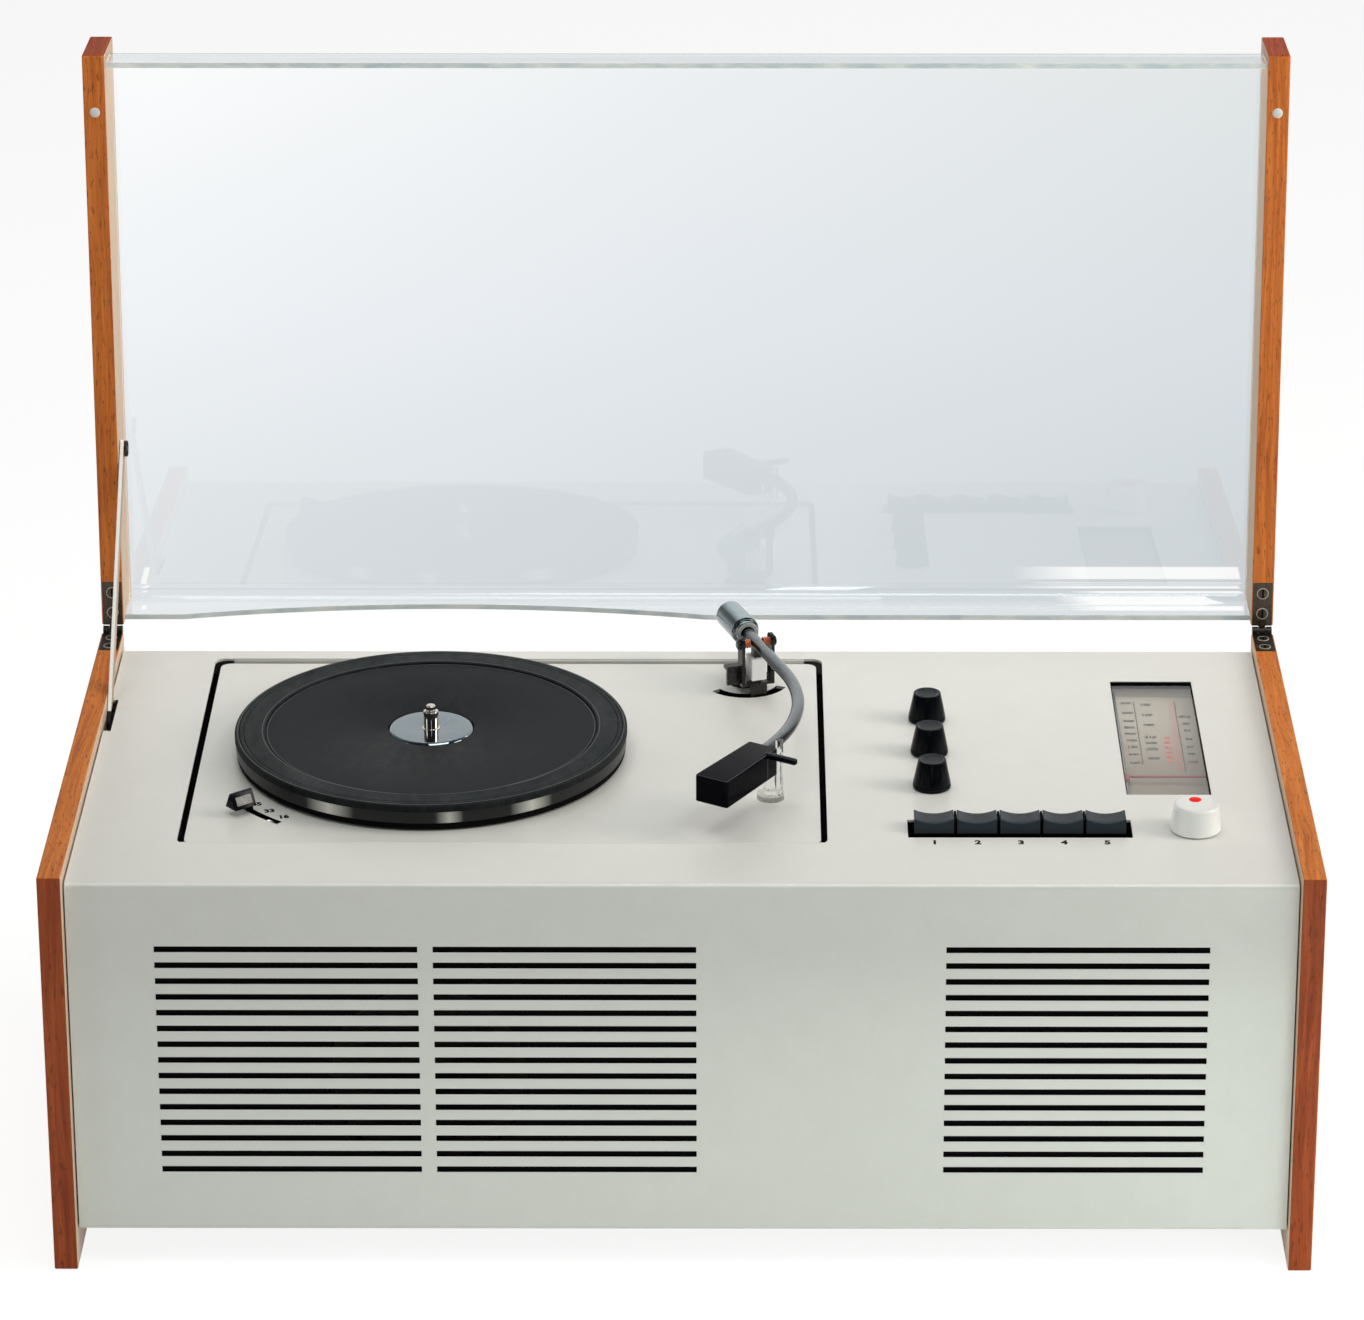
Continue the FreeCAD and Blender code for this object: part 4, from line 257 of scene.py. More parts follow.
# %% Paint, metal, rubber and plastic
FINISHES = {
    "casing_lacquer": finish(
        "satin_casing_lacquer", (0.690, 0.680, 0.640), (0.715, 0.705, 0.668), 900, (0.36, 0.44),
        dent=0.012 * MM, Coat_Weight=0.12, Coat_Roughness=0.3),
    "deck_lacquer": finish(
        "satin_deck_lacquer", (0.672, 0.662, 0.624), (0.700, 0.690, 0.652), 900, (0.34, 0.42),
        dent=0.012 * MM, Coat_Weight=0.12, Coat_Roughness=0.3),
    "hardboard": finish(
        "pressed_hardboard", (0.13, 0.075, 0.038), (0.23, 0.140, 0.075), 1400, (0.65, 0.85),
        dent=0.08 * MM),
    "baffle_board": finish(
        "black_baffle_and_painted_shade", (0.0015, 0.0012, 0.0014), (0.004, 0.0034, 0.0036), 1600, (0.8, 0.95),
        dent=0.06 * MM, Specular_IOR_Level=0.08),
    "dark_steel": finish(
        "dark_plated_steel", (0.060, 0.060, 0.062), (0.120, 0.118, 0.114), 700, (0.32, 0.5),
        dent=0.01 * MM, Metallic=1.0),
    "speaker_paper": finish(
        "pulp_speaker_paper", (0.012, 0.011, 0.010), (0.030, 0.028, 0.025), 2200, (0.8, 0.95),
        dent=0.1 * MM),
    # The tint darkens what faces sideways: painted shade on the sides of the steel pieces.
    "bright_steel": finish(
        "brushed_steel", (0.18, 0.20, 0.21), (0.26, 0.28, 0.29), 900, (0.14, 0.24),
        tints=(("facing", 2, 0.97, 0.45, (0.030, 0.034, 0.038)),), Metallic=1.0),
    # The tints keep what faces up or down bright, darken a band between, and lighten what faces sideways:
    # painted reflections.
    "chrome": finish(
        "polished_chrome", (0.33, 0.40, 0.43), (0.44, 0.52, 0.55), 500, (0.06, 0.12),
        tints=(("facing", 2, 0.98, 0.75, (0.040, 0.055, 0.062)),
               ("facing", 2, 0.6, 0.3, (0.20, 0.23, 0.24))), Metallic=1.0),
    "black_rubber": finish(
        "moulded_black_rubber", (0.0035, 0.004, 0.005), (0.022, 0.0245, 0.0265), 240, (0.36, 0.72),
        stretch=(1, 0.45, 1), dent=0.02 * MM, Specular_IOR_Level=0.08,
        tints=(("place", 2, DECK + 12.7 * MM, DECK + 13.2 * MM, (0.019, 0.022, 0.023)),)),
    "white_rubber": finish(
        "moulded_white_rubber", (0.70, 0.69, 0.66), (0.78, 0.77, 0.74), 900, (0.4, 0.5), dent=0.01 * MM),
    # The tints darken the dial toward the front and turn its tray's walls nearly black: painted shade.
    "dial_paint": finish(
        "grey_dial_paint", (0.262, 0.230, 0.192), (0.296, 0.262, 0.220), 600, (0.5, 0.6),
        dent=0.005 * MM, Specular_IOR_Level=0.05,
        tints=(("place", 1, 40 * MM, -25 * MM, (0.146, 0.117, 0.092)),
               ("place", 2, DIAL_FLOOR + 0.3 * MM, DIAL_FLOOR + 6 * MM, (0.010, 0.009, 0.010)))),
    "core_iron": finish(
        "stacked_core_iron", (0.055, 0.050, 0.047), (0.130, 0.120, 0.110), 420, (0.45, 0.62),
        stretch=(1, 6, 1), Metallic=0.8),
    "hinge_metal": finish(
        "aged_hinge_nickel", (0.060, 0.050, 0.039), (0.140, 0.120, 0.095), 900, (0.34, 0.5),
        dent=0.02 * MM, Metallic=1.0),
    "brass": finish(
        "turned_brass", (0.52, 0.36, 0.12), (0.66, 0.48, 0.19), 800, (0.2, 0.34), Metallic=1.0),
    # The tints paint a pale blue-grey band on rounded upper edges, between a dark top and dark sides: a
    # painted highlight.
    "black_plastic": finish(
        "glossy_black_plastic", (0.0020, 0.0024, 0.0036), (0.0040, 0.0048, 0.0066), 700, (0.10, 0.18),
        dent=0.002 * MM, Specular_IOR_Level=0.09,
        tints=(("facing", 2, 0.985, 0.85, (0.038, 0.052, 0.068)),
               ("facing", 2, 0.8, 0.62, (0.003, 0.0036, 0.005)))),
    # The tint whitens what faces sideways: painted light on the sides of the tuning knob and the arm's
    # block.
    "white_plastic": finish(
        "glossy_white_plastic", (0.70, 0.695, 0.675), (0.75, 0.745, 0.725), 700, (0.2, 0.28),
        tints=(("facing", 2, 0.85, 0.3, (0.98, 0.98, 0.96)),), Coat_Weight=0.4, Coat_Roughness=0.08),
    "yoke_steel": finish(
        "blued_yoke_steel", (0.030, 0.028, 0.028), (0.070, 0.066, 0.064), 700, (0.2, 0.34), Metallic=1.0),
    "copper": finish(
        "bare_copper", (0.62, 0.20, 0.10), (0.80, 0.30, 0.16), 800, (0.25, 0.4), Metallic=0.6),
    "red_paint": finish(
        "bright_red_paint", (0.84, 0.010, 0.006), (0.92, 0.016, 0.010), 700, (0.4, 0.5),
        Specular_IOR_Level=0.1),
}
print("made", len(FINISHES), "finishes for the solids' slots")

# %% Finishes of single pieces
# The tints turn the stay's broad sides brown, painted shade, and turn it black below the casing's top,
# painted shade in the notch.
STAY_CREAM = finish(
    "cream_stay_enamel", (0.92, 0.90, 0.85), (0.97, 0.95, 0.91), 700, (0.36, 0.46), dent=0.01 * MM,
    tints=(("facing", 0, 0.5, 0.8, (0.44, 0.30, 0.20)),
           ("place", 2, TOP, TOP - 0.4 * MM, (0.004, 0.003, 0.003))))
PIN_STEEL = finish(
    "polished_pin_steel", (0.60, 0.52, 0.44), (0.80, 0.73, 0.66), 600, (0.05, 0.1),
    stretch=(1, 1, 0.05), Metallic=1.0)
DISC_STEEL = finish(
    "polished_disc_steel", (0.225, 0.265, 0.285), (0.25, 0.29, 0.312), 300, (0.03, 0.06), Metallic=1.0)
# The tints paint a pale line on the headshell's rounded upper edges, between a dark top and dark sides: a
# painted highlight.
SHELL_BLACK = finish(
    "satin_shell_plastic", (0.0008, 0.0008, 0.0020), (0.0018, 0.0018, 0.0038), 700, (0.14, 0.22),
    tints=(("facing", 2, 0.985, 0.85, (0.070, 0.075, 0.090)),
           ("facing", 2, 0.75, 0.55, (0.0013, 0.0013, 0.003))), Specular_IOR_Level=0.035)
WEIGHT_FACE = finish(
    "faced_weight_steel", (0.46, 0.49, 0.50), (0.60, 0.63, 0.64), 1200, (0.3, 0.42), Metallic=0.4)
POINTER_RED = finish(
    "dark_pointer_red", (0.15, 0.014, 0.020), (0.22, 0.024, 0.030), 900, (0.4, 0.5),
    Specular_IOR_Level=0.05)
# The tints paint a pale blue band on rounded upper edges and a paler front face, painted highlight and
# painted light, and turn the keys black below the casing's top, painted shade in the slot.
KEY_BLACK = finish(
    "blue_black_key_plastic", (0.016, 0.022, 0.028), (0.022, 0.029, 0.037), 700, (0.12, 0.2),
    tints=(("facing", 2, 0.975, 0.8, (0.050, 0.070, 0.090)),
           ("facing", 2, 0.55, 0.3, (0.030, 0.040, 0.050)),
           ("place", 2, TOP + 0.2 * MM, TOP - 0.3 * MM, (0.001, 0.001, 0.001))), Specular_IOR_Level=0.1)
# A brighter ring round each screw head.
SCREW_RING = finish(
    "bright_screw_rim", (0.34, 0.31, 0.24), (0.58, 0.54, 0.43), 1500, (0.3, 0.45), Metallic=0.3)
# A paler, glossier strip over the casing's front bend: a painted highlight.
BEND_HIGHLIGHT_LACQUER = finish(
    "painted_highlight_bend_lacquer", (0.80, 0.80, 0.77), (0.86, 0.86, 0.83), 900, (0.2, 0.3),
    Coat_Weight=0.3, Coat_Roughness=0.2)
# Pale lines on the mat's ring edges and along the headshell's seam: painted highlights.
HIGHLIGHT_EDGE = finish(
    "painted_highlight_edge", (0.050, 0.055, 0.057), (0.085, 0.090, 0.092), 500, (0.4, 0.6))
# The lid sheet's edges run in patches from blue-grey to near white: the sawn edge's own frosted tint, with
# painted glints.
SAWN_EDGE_AND_GLINTS = finish(
    "sawn_acrylic_edge_and_glints", (0.52, 0.62, 0.66), (1.0, 0.98, 0.92), 160, (0.25, 0.4), stretch=(0.4, 1, 1))
INK_AND_SHADE_BLACK = finish(
    "black_ink_and_painted_shade", (0.004, 0.004, 0.004), (0.012, 0.011, 0.011), 2500, (0.45, 0.6), Specular_IOR_Level=0.05)
PRINT_RED = finish(
    "red_print", (0.42, 0.030, 0.030), (0.52, 0.045, 0.042), 2500, (0.45, 0.6), Specular_IOR_Level=0.05)
LABEL_GREY = finish("pale_lever_label", (0.16, 0.15, 0.14), (0.50, 0.49, 0.47), 900, (0.35, 0.5))
print("made fourteen finishes for single pieces")

# %% [markdown]
# ## Turned rim
#
# Turned metal catches the lamps in a few bright bands across the lathe marks. An anisotropic shader could
# give them, but the model's other viewers drop it, so the bands are painted by angle round the axis.

# %% Turned rim
BAND_DEGREES = ((62, 8), (98, 4), (123, 7))


def banded(name, dark, light, middle, bands):
    """Colour by a = atan2(y, x) about the middle, the same after half a turn: light at a band, else dark."""
    material, tree, skin = begin(name)
    spot = parts_of(tree, put(tree, "TexCoord").outputs["Object"])
    ahead_by = math_of(tree, "SUBTRACT", spot[1], middle[1])
    aside_by = math_of(tree, "SUBTRACT", spot[0], middle[0])
    angle = math_of(tree, "ARCTAN2", ahead_by, aside_by)
    half_turn = math_of(tree, "FLOORED_MODULO", math_of(tree, "DIVIDE", angle, math.pi), 1.0)
    stops = []
    for degrees, half in bands:
        stops += [((degrees - half) / 180, dark), (degrees / 180, light), ((degrees + half) / 180, dark)]
    marks = cloud(tree, put(tree, "CombineXYZ", {2: spot[2]}).outputs[0], 3000)
    colour = mixed(tree, span(tree, marks, 0.0, 0.4), ramp(tree, half_turn, stops), (*dark, 1.0))
    tree.links.new(colour, skin.inputs["Base Color"])
    tree.links.new(span(tree, marks, 0.32, 0.42), skin.inputs["Roughness"])
    skin.inputs["Metallic"].default_value = 0.5
    return material


RIM_STEEL = banded("turned_rim_steel", (0.018, 0.020, 0.020), (0.90, 0.90, 0.84), PLATTER, BAND_DEGREES)
print("made the rim's finish")

# %% [markdown]
# ## Wood
#
# The end boards are veneered, with lippings on every edge: the grain runs up the front and rear edges, and
# from front to back on the top edges and the broad faces. Each face could have a material of its own; here
# the surface's own direction picks the grain, so one material fits a whole board. Open pores are short
# dark dashes along the grain, under a thin satin lacquer.

# %% Wood


def wood(name, turn, bright):
    """Figure = noise stretched 40 times along the grain and bent by broad noise; pores = its sharp peaks."""
    material, tree, skin = begin(name)
    source = put(tree, "TexCoord")
    spot = parts_of(tree, stretched(tree, source.outputs["Object"], (1, 1, 1), (-turn, 0, 0)))
    facing = stretched(tree, source.outputs["Normal"], (1, 1, 1), (-turn, 0, 0))
    way = parts_of(tree, sizes_of(tree, facing))
    side_of = math_of(tree, "SIGN", spot[0])
    inward = math_of(tree, "MULTIPLY", parts_of(tree, facing)[0], side_of)
    inner_face = math_of(tree, "LESS_THAN", inward, -0.7)
    end_edge = math_of(tree, "GREATER_THAN", way[1], 0.7)
    broad_face = math_of(tree, "GREATER_THAN", way[0], 0.7)
    along = put(tree, "Mix", {0: end_edge, 2: spot[1], 3: spot[2]}).outputs[0]
    across_grain = put(tree, "Mix", {0: broad_face, 2: spot[0], 3: spot[2]}).outputs[0]
    apart = math_of(tree, "ADD", side_of, math_of(tree, "MULTIPLY", end_edge, 3.7))
    sheet = put(tree, "CombineXYZ", {0: across_grain, 1: along, 2: apart}).outputs[0]

    drift = cloud(tree, stretched(tree, sheet, (60, 9, 1)), 1.0, 2.0)
    bent = math_of(tree, "MULTIPLY_ADD", drift, 0.012)
    tree.links.new(across_grain, bent.node.inputs[2])
    veneer = put(tree, "CombineXYZ", {0: bent, 1: along, 2: apart}).outputs[0]
    figure = cloud(tree, stretched(tree, veneer, (520, 13, 1)), 1.0, 5.0, 0.62)
    streak = cloud(tree, stretched(tree, veneer, (2600, 60, 1)), 1.0, 3.0)
    pore = cloud(tree, stretched(tree, veneer, (1150, 150, 1)), 1.0, 2.0)
    broad = cloud(tree, stretched(tree, veneer, (90, 10, 1)), 1.0, 2.0)

    colour = ramp(tree, figure, (
        (0.28, (0.260, 0.064, 0.013)), (0.44, (0.400, 0.112, 0.022)),
        (0.58, (0.520, 0.160, 0.032)), (0.74, (0.640, 0.230, 0.052))))
    colour = mixed(tree, span(tree, streak, 0.0, 0.6, 0.45, 0.72), colour, (0.33, 0.082, 0.014, 1))
    colour = mixed(tree, span(tree, broad, 0.0, 0.5, 0.40, 0.75), colour, (0.60, 0.205, 0.046, 1))
    colour = mixed(tree, end_edge, colour, mixed(tree, 1.0, colour, (0.58, 0.36, 0.42, 1), "MULTIPLY"))
    deep = span(tree, pore, 0.0, 1.0, 0.60, 0.66)
    colour = mixed(tree, math_of(tree, "MULTIPLY", deep, 0.6), colour, (0.10, 0.020, 0.006, 1))
    colour = mixed(tree, 1.0, colour, bright, "MULTIPLY")
    colour = mixed(tree, math_of(tree, "MULTIPLY", inner_face, 0.7), colour, (0.74, 0.67, 0.52, 1))
    tree.links.new(colour, skin.inputs["Base Color"])
    tree.links.new(span(tree, streak, 0.42, 0.56), skin.inputs["Roughness"])
    hollow = math_of(tree, "SUBTRACT", math_of(tree, "MULTIPLY", streak, 0.25), deep)
    tree.links.new(dented(tree, hollow, 0.05 * MM), skin.inputs["Normal"])
    skin.inputs["Specular IOR Level"].default_value = 0.22
    return material


FINISHES["lacquered_wood"] = wood("lipped_board_veneer", 0.0, (1.22, 1.20, 1.14, 1.0))
# The lid veneer is the board veneer turned with the lid; its brighter, warmer tone is painted light on the
# lid boards.
LID_WOOD = wood("lipped_lid_veneer", LID_TURN, (1.38, 1.22, 1.08, 1.0))
print("made the board veneer and the lid veneer")

# %% [markdown]
# ## Clear pieces
#
# The lid is bent acrylic sheet, the dial has a glass, and the valves have glass bulbs. Real glass throws
# soft caustics, which take very long to render; instead lamps shine straight through, so that clear pieces
# throw no heavy shadow. Faint wiping marks vary the gloss.

# %% Clear finishes


def clear(name, tint, ior, rough, marks, mirror):
    """Light bends by ior and takes the tint; a lamp's ray goes straight through; noise varies the gloss."""
    material, tree, skin = begin(name)
    haze = cloud(tree, put(tree, "TexCoord").outputs["Object"], marks, 4.0)
    tree.links.new(span(tree, haze, *rough, 0.45, 0.8), skin.inputs["Roughness"])
    skin.inputs["Base Color"].default_value = (*tint, 1.0)
    skin.inputs["Transmission Weight"].default_value = 1.0
    skin.inputs["IOR"].default_value = ior
    skin.inputs["Specular IOR Level"].default_value = mirror
    through = put(tree, "BsdfTransparent", {"Color": (*tint, 1.0)})
    both = shader_mix(tree, put(tree, "LightPath").outputs["Is Shadow Ray"], skin, through)
    tree.links.new(both.outputs[0], tree.nodes["Material Output"].inputs["Surface"])
    return material


FINISHES["clear_acrylic"] = clear("bent_clear_acrylic", (0.975, 0.985, 0.985), 1.49, (0.0, 0.02), 30, 0.09)
FINISHES["dial_glass"] = clear("dial_cover_glass", (0.93, 0.94, 0.93), 1.3, (0.0, 0.004), 60, 0.08)
FINISHES["valve_glass"] = clear("valve_bulb_glass", (0.86, 0.89, 0.90), 1.5, (0.02, 0.12), 120, 0.5)
print("made three clear finishes")

# %% Every solid takes its slot's finish
for node in nodes.values():
    slot_name = node.data.materials[0].name.split(".")[0]
    node.data.materials[0] = FINISHES[slot_name]
own_finishes = {
    "left_lid_board": LID_WOOD, "right_lid_board": LID_WOOD, "stay_bar": STAY_CREAM,
    "dial_pointer": POINTER_RED, "speed_lever_arm": FINISHES["baffle_board"]}
for name, look in own_finishes.items():
    nodes[name].data.materials[0] = look
print("dressed", len(nodes), "solids,", len(own_finishes), "of them in finishes of their own")

# %% [markdown]
# ## Table
#
# The radiogram stands on a white table that runs back into white. A bright backdrop would do, but it would
# also light the object, so the table is only white to the eye and keeps a share of lit paint for the shadow.
# Seen through the lid it darkens toward the front and the right, painted shade in the sheet, with soft
# stripes and bars that are painted reflections of the studio in the sheet.

# %% Table
TABLE_HALF = 7.0
BAR_EDGE, BAR_END = 0.001, 0.0012
# Bars and stripes that show only through the lid: painted reflections in the sheet.
BARS = (
    (0.190, 0.328, 0.040, 0.690, 0.711), (0.200, 0.328, 0.015, 0.6832, 0.6856),
    (0.222, 0.3255, 0.020, 0.6345, 0.662), (0.208, 0.300, 0.020, 0.15, 0.60),
    (-0.3349, -0.3306, 0.001, 0.681, 0.709), (-0.330, -0.3262, 0.001, 0.6345, 0.655))
STRIPES = (
    (0.44, 1.0), (0.49, 0.84), (0.52, 0.84), (0.555, 1.0),
    (0.595, 1.0), (0.63, 0.88), (0.68, 0.88), (0.74, 1.0))


def through_the_lid(tree):
    """Colour = depth ramp x side ramp x stripes; a bar (left, right, soft, near, far) is its least rise."""
    spot = parts_of(tree, put(tree, "TexCoord").outputs["Object"])
    depth = ramp(tree, span(tree, spot[1], 0.0, 1.0, 0.5, 1.8), (
        (0.0, (0.755, 0.790, 0.815)), (0.22, (0.800, 0.830, 0.855)),
        (0.5, (0.895, 0.915, 0.945)), (1.0, (1.0, 1.0, 1.0))))
    greys = [(at, (grey, grey, grey)) for at, grey in STRIPES]
    stripes = ramp(tree, span(tree, spot[1], 0.0, 1.0, 0.64, 0.70), greys)
    leaning = ramp(tree, span(tree, spot[0], 0.0, 1.0, -0.42, 0.42), (
        (0.0, (1.0, 1.0, 1.0)), (0.5, (0.875, 0.890, 0.905)), (1.0, (0.780, 0.805, 0.810))))
    colour = mixed(tree, 1.0, mixed(tree, 1.0, depth, leaning, "MULTIPLY"), stripes, "MULTIPLY")
    for left, right, soft, near, far in BARS:
        rise = span(tree, spot[0], 0.0, 1.0, left, left + soft)
        fall = span(tree, spot[0], 1.0, 0.0, right - BAR_EDGE, right)
        start = span(tree, spot[1], 0.0, 1.0, near, near + BAR_END)
        end = span(tree, spot[1], 1.0, 0.0, far - BAR_END, far)
        wide = math_of(tree, "MINIMUM", rise, fall)
        bar = math_of(tree, "MINIMUM", wide, math_of(tree, "MINIMUM", start, end))
        colour = mixed(tree, bar, colour, (1.0, 1.0, 1.0, 1.0))
    return colour


def table_finish():
    """To the eye and in gloss, white plus a share of lit paint; through glass, painted shade and painted
    reflections of the lid; below, clear.

    Any other ray meets plain white paint, which throws light up at the radiogram."""
    material, tree, skin = begin("white_table")
    tree.nodes.remove(skin)
    rays = put(tree, "LightPath").outputs
    paint = put(tree, "BsdfDiffuse", {"Color": (0.80, 0.80, 0.80, 1.0)})
    dim = put(tree, "BsdfDiffuse", {"Color": (0.22, 0.22, 0.22, 1.0)})
    seen = put(tree, "Emission", {"Color": (0.87, 0.87, 0.87, 1.0), "Strength": 1.0})
    passed = put(tree, "Emission", {"Color": through_the_lid(tree), "Strength": 1.0})
    white = put(tree, "AddShader", {0: seen.outputs[0], 1: dim.outputs[0]})
    eye = math_of(tree, "MAXIMUM", rays["Is Camera Ray"], rays["Is Glossy Ray"])
    lit = shader_mix(tree, eye, paint, white)
    full = shader_mix(tree, rays["Is Transmission Ray"], lit, passed)
    below = put(tree, "NewGeometry").outputs["Backfacing"]
    last = shader_mix(tree, below, full, put(tree, "BsdfTransparent"))
    tree.links.new(last.outputs[0], tree.nodes["Material Output"].inputs["Surface"])
    return material


table_mesh = bpy.data.meshes.new("table")
reach = TABLE_HALF * np.array(((-1, -1, 0), (1, -1, 0), (1, 1, 0), (-1, 1, 0)))
table_mesh.from_pydata((reach - (0, 0, 0.5 * MM)).tolist(), [], [(0, 1, 2, 3)])
table_mesh.materials.append(table_finish())
table = bpy.data.objects.new("table", table_mesh)
scene.collection.objects.link(table)
print("table", 2 * TABLE_HALF, "m wide")

# %% [markdown]
# ## Light
#
# Two wide lamps overhead and two on the right carry the deck, with the right side warmer and brighter, and a
# faint one fills the front. A narrow lamp ahead and one on the left mainly put glints on gloss. Brighter
# lamps ahead could light the front wall too, but there most of the light comes up off the white table, so
# two low lamps shine down on it.

# %% World
world = bpy.data.worlds.new("studio")
scene.world = world
world.use_nodes = True
tree = world.node_tree
tree.nodes.clear()
rays = put(tree, "LightPath").outputs
heading = parts_of(tree, put(tree, "TexCoord").outputs["Generated"])
room = ramp(tree, span(tree, heading[1], 0.0, 1.0, -1.0, 1.0), (
    (0.0, (0.03, 0.03, 0.035)), (0.4, (0.06, 0.06, 0.07)),
    (0.6, (0.20, 0.22, 0.25)), (1.0, (0.40, 0.44, 0.48))))
soft = put(tree, "Background", {"Color": (0.92, 1.0, 0.98, 1.0), "Strength": 0.12})
mirrored = put(tree, "Background", {"Color": room, "Strength": 1.0})
white = put(tree, "Background", {"Color": (1.0, 1.0, 1.0, 1.0), "Strength": 1.0})
either = shader_mix(tree, rays["Is Glossy Ray"], soft, mirrored)
eye = math_of(tree, "MAXIMUM", rays["Is Camera Ray"], rays["Is Transmission Ray"])
whole = shader_mix(tree, eye, either, white)
tree.links.new(whole.outputs[0], put(tree, "OutputWorld").inputs["Surface"])
print("world ready")

# %% Lamps


def lamp(name, place, target, size, power, colour, mirrored=True):
    """A flat soft lamp of (width, height) metres, from place toward target; mirrored ones show in gloss."""
    data = bpy.data.lights.new(name, "AREA")
    data.shape = "RECTANGLE"
    data.size, data.size_y = size
    data.energy = power
    data.color = colour
    made = bpy.data.objects.new(name, data)
    toward = np.array(target) - np.array(place)
    toward = toward / np.linalg.norm(toward)
    level = np.cross(toward, (0.0, 0.0, 1.0))
    level = level / np.linalg.norm(level)
    frame_of = np.eye(4)
    frame_of[:3, :] = np.stack((level, np.cross(level, toward), -toward, place), axis=1)
    made.matrix_world = Matrix(frame_of.tolist())
    made.visible_camera = False
    made.visible_glossy = mirrored
    scene.collection.objects.link(made)


lamp("overhead_front", (0.35, -0.7, 1.7), (0.05, 0.0, 0.2), (1.2, 0.35), 5.5, (0.94, 1.0, 1.0))
lamp("overhead_left", (-0.35, 0.0, 1.75), (0.0, 0.0, 0.2), (1.2, 1.0), 8.0, (1.0, 0.985, 0.965), False)
lamp("right_high", (1.1, 0.1, 1.5), (0.0, 0.0, 0.2), (0.7, 0.7), 5.0, (1.0, 0.98, 0.94), False)
lamp("right_side", (1.6, -0.25, 1.0), (0.0, 0.0, 0.2), (0.7, 0.7), 13.0, (1.0, 0.94, 0.87))
lamp("left_side", (-1.5, -0.62, 0.7), (-0.1, 0.0, 0.2), (0.28, 0.5), 2.0, (1.0, 1.0, 0.94))
lamp("tall_front", (0.09, -1.6, 0.6), (-0.1, 0.0, 0.2), (0.07, 0.8), 0.8, (0.93, 1.0, 0.98))
lamp("front_right", (1.0, -1.3, 0.5), (0.1, 0.0, 0.15), (0.5, 0.5), 1.2, (0.93, 1.0, 0.96), False)
lamp("table_left", (0.0, -0.58, 0.16), (0.0, -0.5799, 0.0), (0.9, 0.4), 0.75, (0.86, 1.0, 0.93), False)
lamp("table_right", (0.52, -0.58, 0.16), (0.52, -0.5799, 0.0), (0.6, 0.4), 4.7, (0.87, 1.0, 0.93), False)
print(len(bpy.data.lights), "lamps")

# %% [markdown]
# ## Shapes as arrays
#
# A shape here is a pair: an array of points, and the list of faces over them. It could be modelled by hand
# and kept as a file; a formula is shorter and can be changed. Four ways of making one cover most of the
# radiogram: turning a profile, carrying an outline up through layers, sweeping a section along a path,
# and printing letters. The tops of the keys and the lid's sheet are grids with formulas of their own.

# %% Outlines and profiles


def mm(*rows):
    """Rows of millimetres as one array in metres."""
    return np.array(rows, float) * MM


def rounded(points, reach, steps=6, closed=False):
    """Corner C becomes (1-t)^2 A + 2t(1-t) C + t^2 B, with A and B at reach from C along its two sides."""
    c = np.asarray(points, float)
    before, after = np.roll(c, 1, axis=0) - c, np.roll(c, -1, axis=0) - c
    if not closed:
        before[0] = after[-1] = 0
    unit = [v / np.maximum(np.linalg.norm(v, axis=1, keepdims=True), 1e-9) for v in (before, after)]
    far = np.broadcast_to(reach, len(c))[:, None]
    t = np.linspace(0, 1, steps)[:, None, None]
    curve = (1 - t) ** 2 * (c + unit[0] * far) + 2 * t * (1 - t) * c + t ** 2 * (c + unit[1] * far)
    return curve.transpose(1, 0, 2).reshape(-1, c.shape[1])


def lathe(*rows, steps=6):
    """Profile for turning, from rows of (radius, height, corner reach) in millimetres."""
    table = mm(*rows)
    return rounded(table[:, :2], table[:, 2], steps)


def block(low_x, high_x, low_y, high_y, corner, steps=6):
    """Outline of a rectangle with rounded corners, anticlockwise."""
    plan = ((low_x, low_y), (high_x, low_y), (high_x, high_y), (low_x, high_y))
    return rounded(plan, corner, steps, closed=True)


def block_mm(*sides_and_corner):
    """The same outline, from its four sides and its corner in millimetres."""
    return block(*mm(*sides_and_corner))


def ring(radius, steps=32):
    """Points of a circle, anticlockwise: (r cos a, r sin a)."""
    angle = np.linspace(0, 2 * np.pi, steps, endpoint=False)
    return radius * np.stack((np.cos(angle), np.sin(angle)), axis=1)


def soft_edge(radius, top, steps=6):
    """Layers of a rounded upper edge: inset = R(1 - cos a), height = top - R(1 - sin a)."""
    angle = np.linspace(0, np.pi / 2, steps)
    return np.stack((radius * (1 - np.cos(angle)), top - radius * (1 - np.sin(angle))), axis=1)


def soft_foot(radius, low, steps=4):
    """Layers of a rounded lower edge, from the inside out."""
    edge = soft_edge(radius, 0.0, steps)[::-1]
    return np.stack((edge[:, 0], low - edge[:, 1]), axis=1)


print("outline helpers ready")

# %% Skins over outlines
FONT_TO_LETTER, INK_SPREAD = 1.38, 0.065


def quads(rows, columns, around=True):
    """Faces between neighbouring rows of points; around joins the last column back to the first."""
    across_by = np.arange(columns if around else columns - 1)
    row, column = np.meshgrid(np.arange(rows - 1), across_by, indexing="ij")
    after = (column + 1) % columns
    low, high = row * columns, (row + 1) * columns
    faces = np.stack((low + column, low + after, high + after, high + column), axis=-1)
    return faces.reshape(-1, 4).tolist()


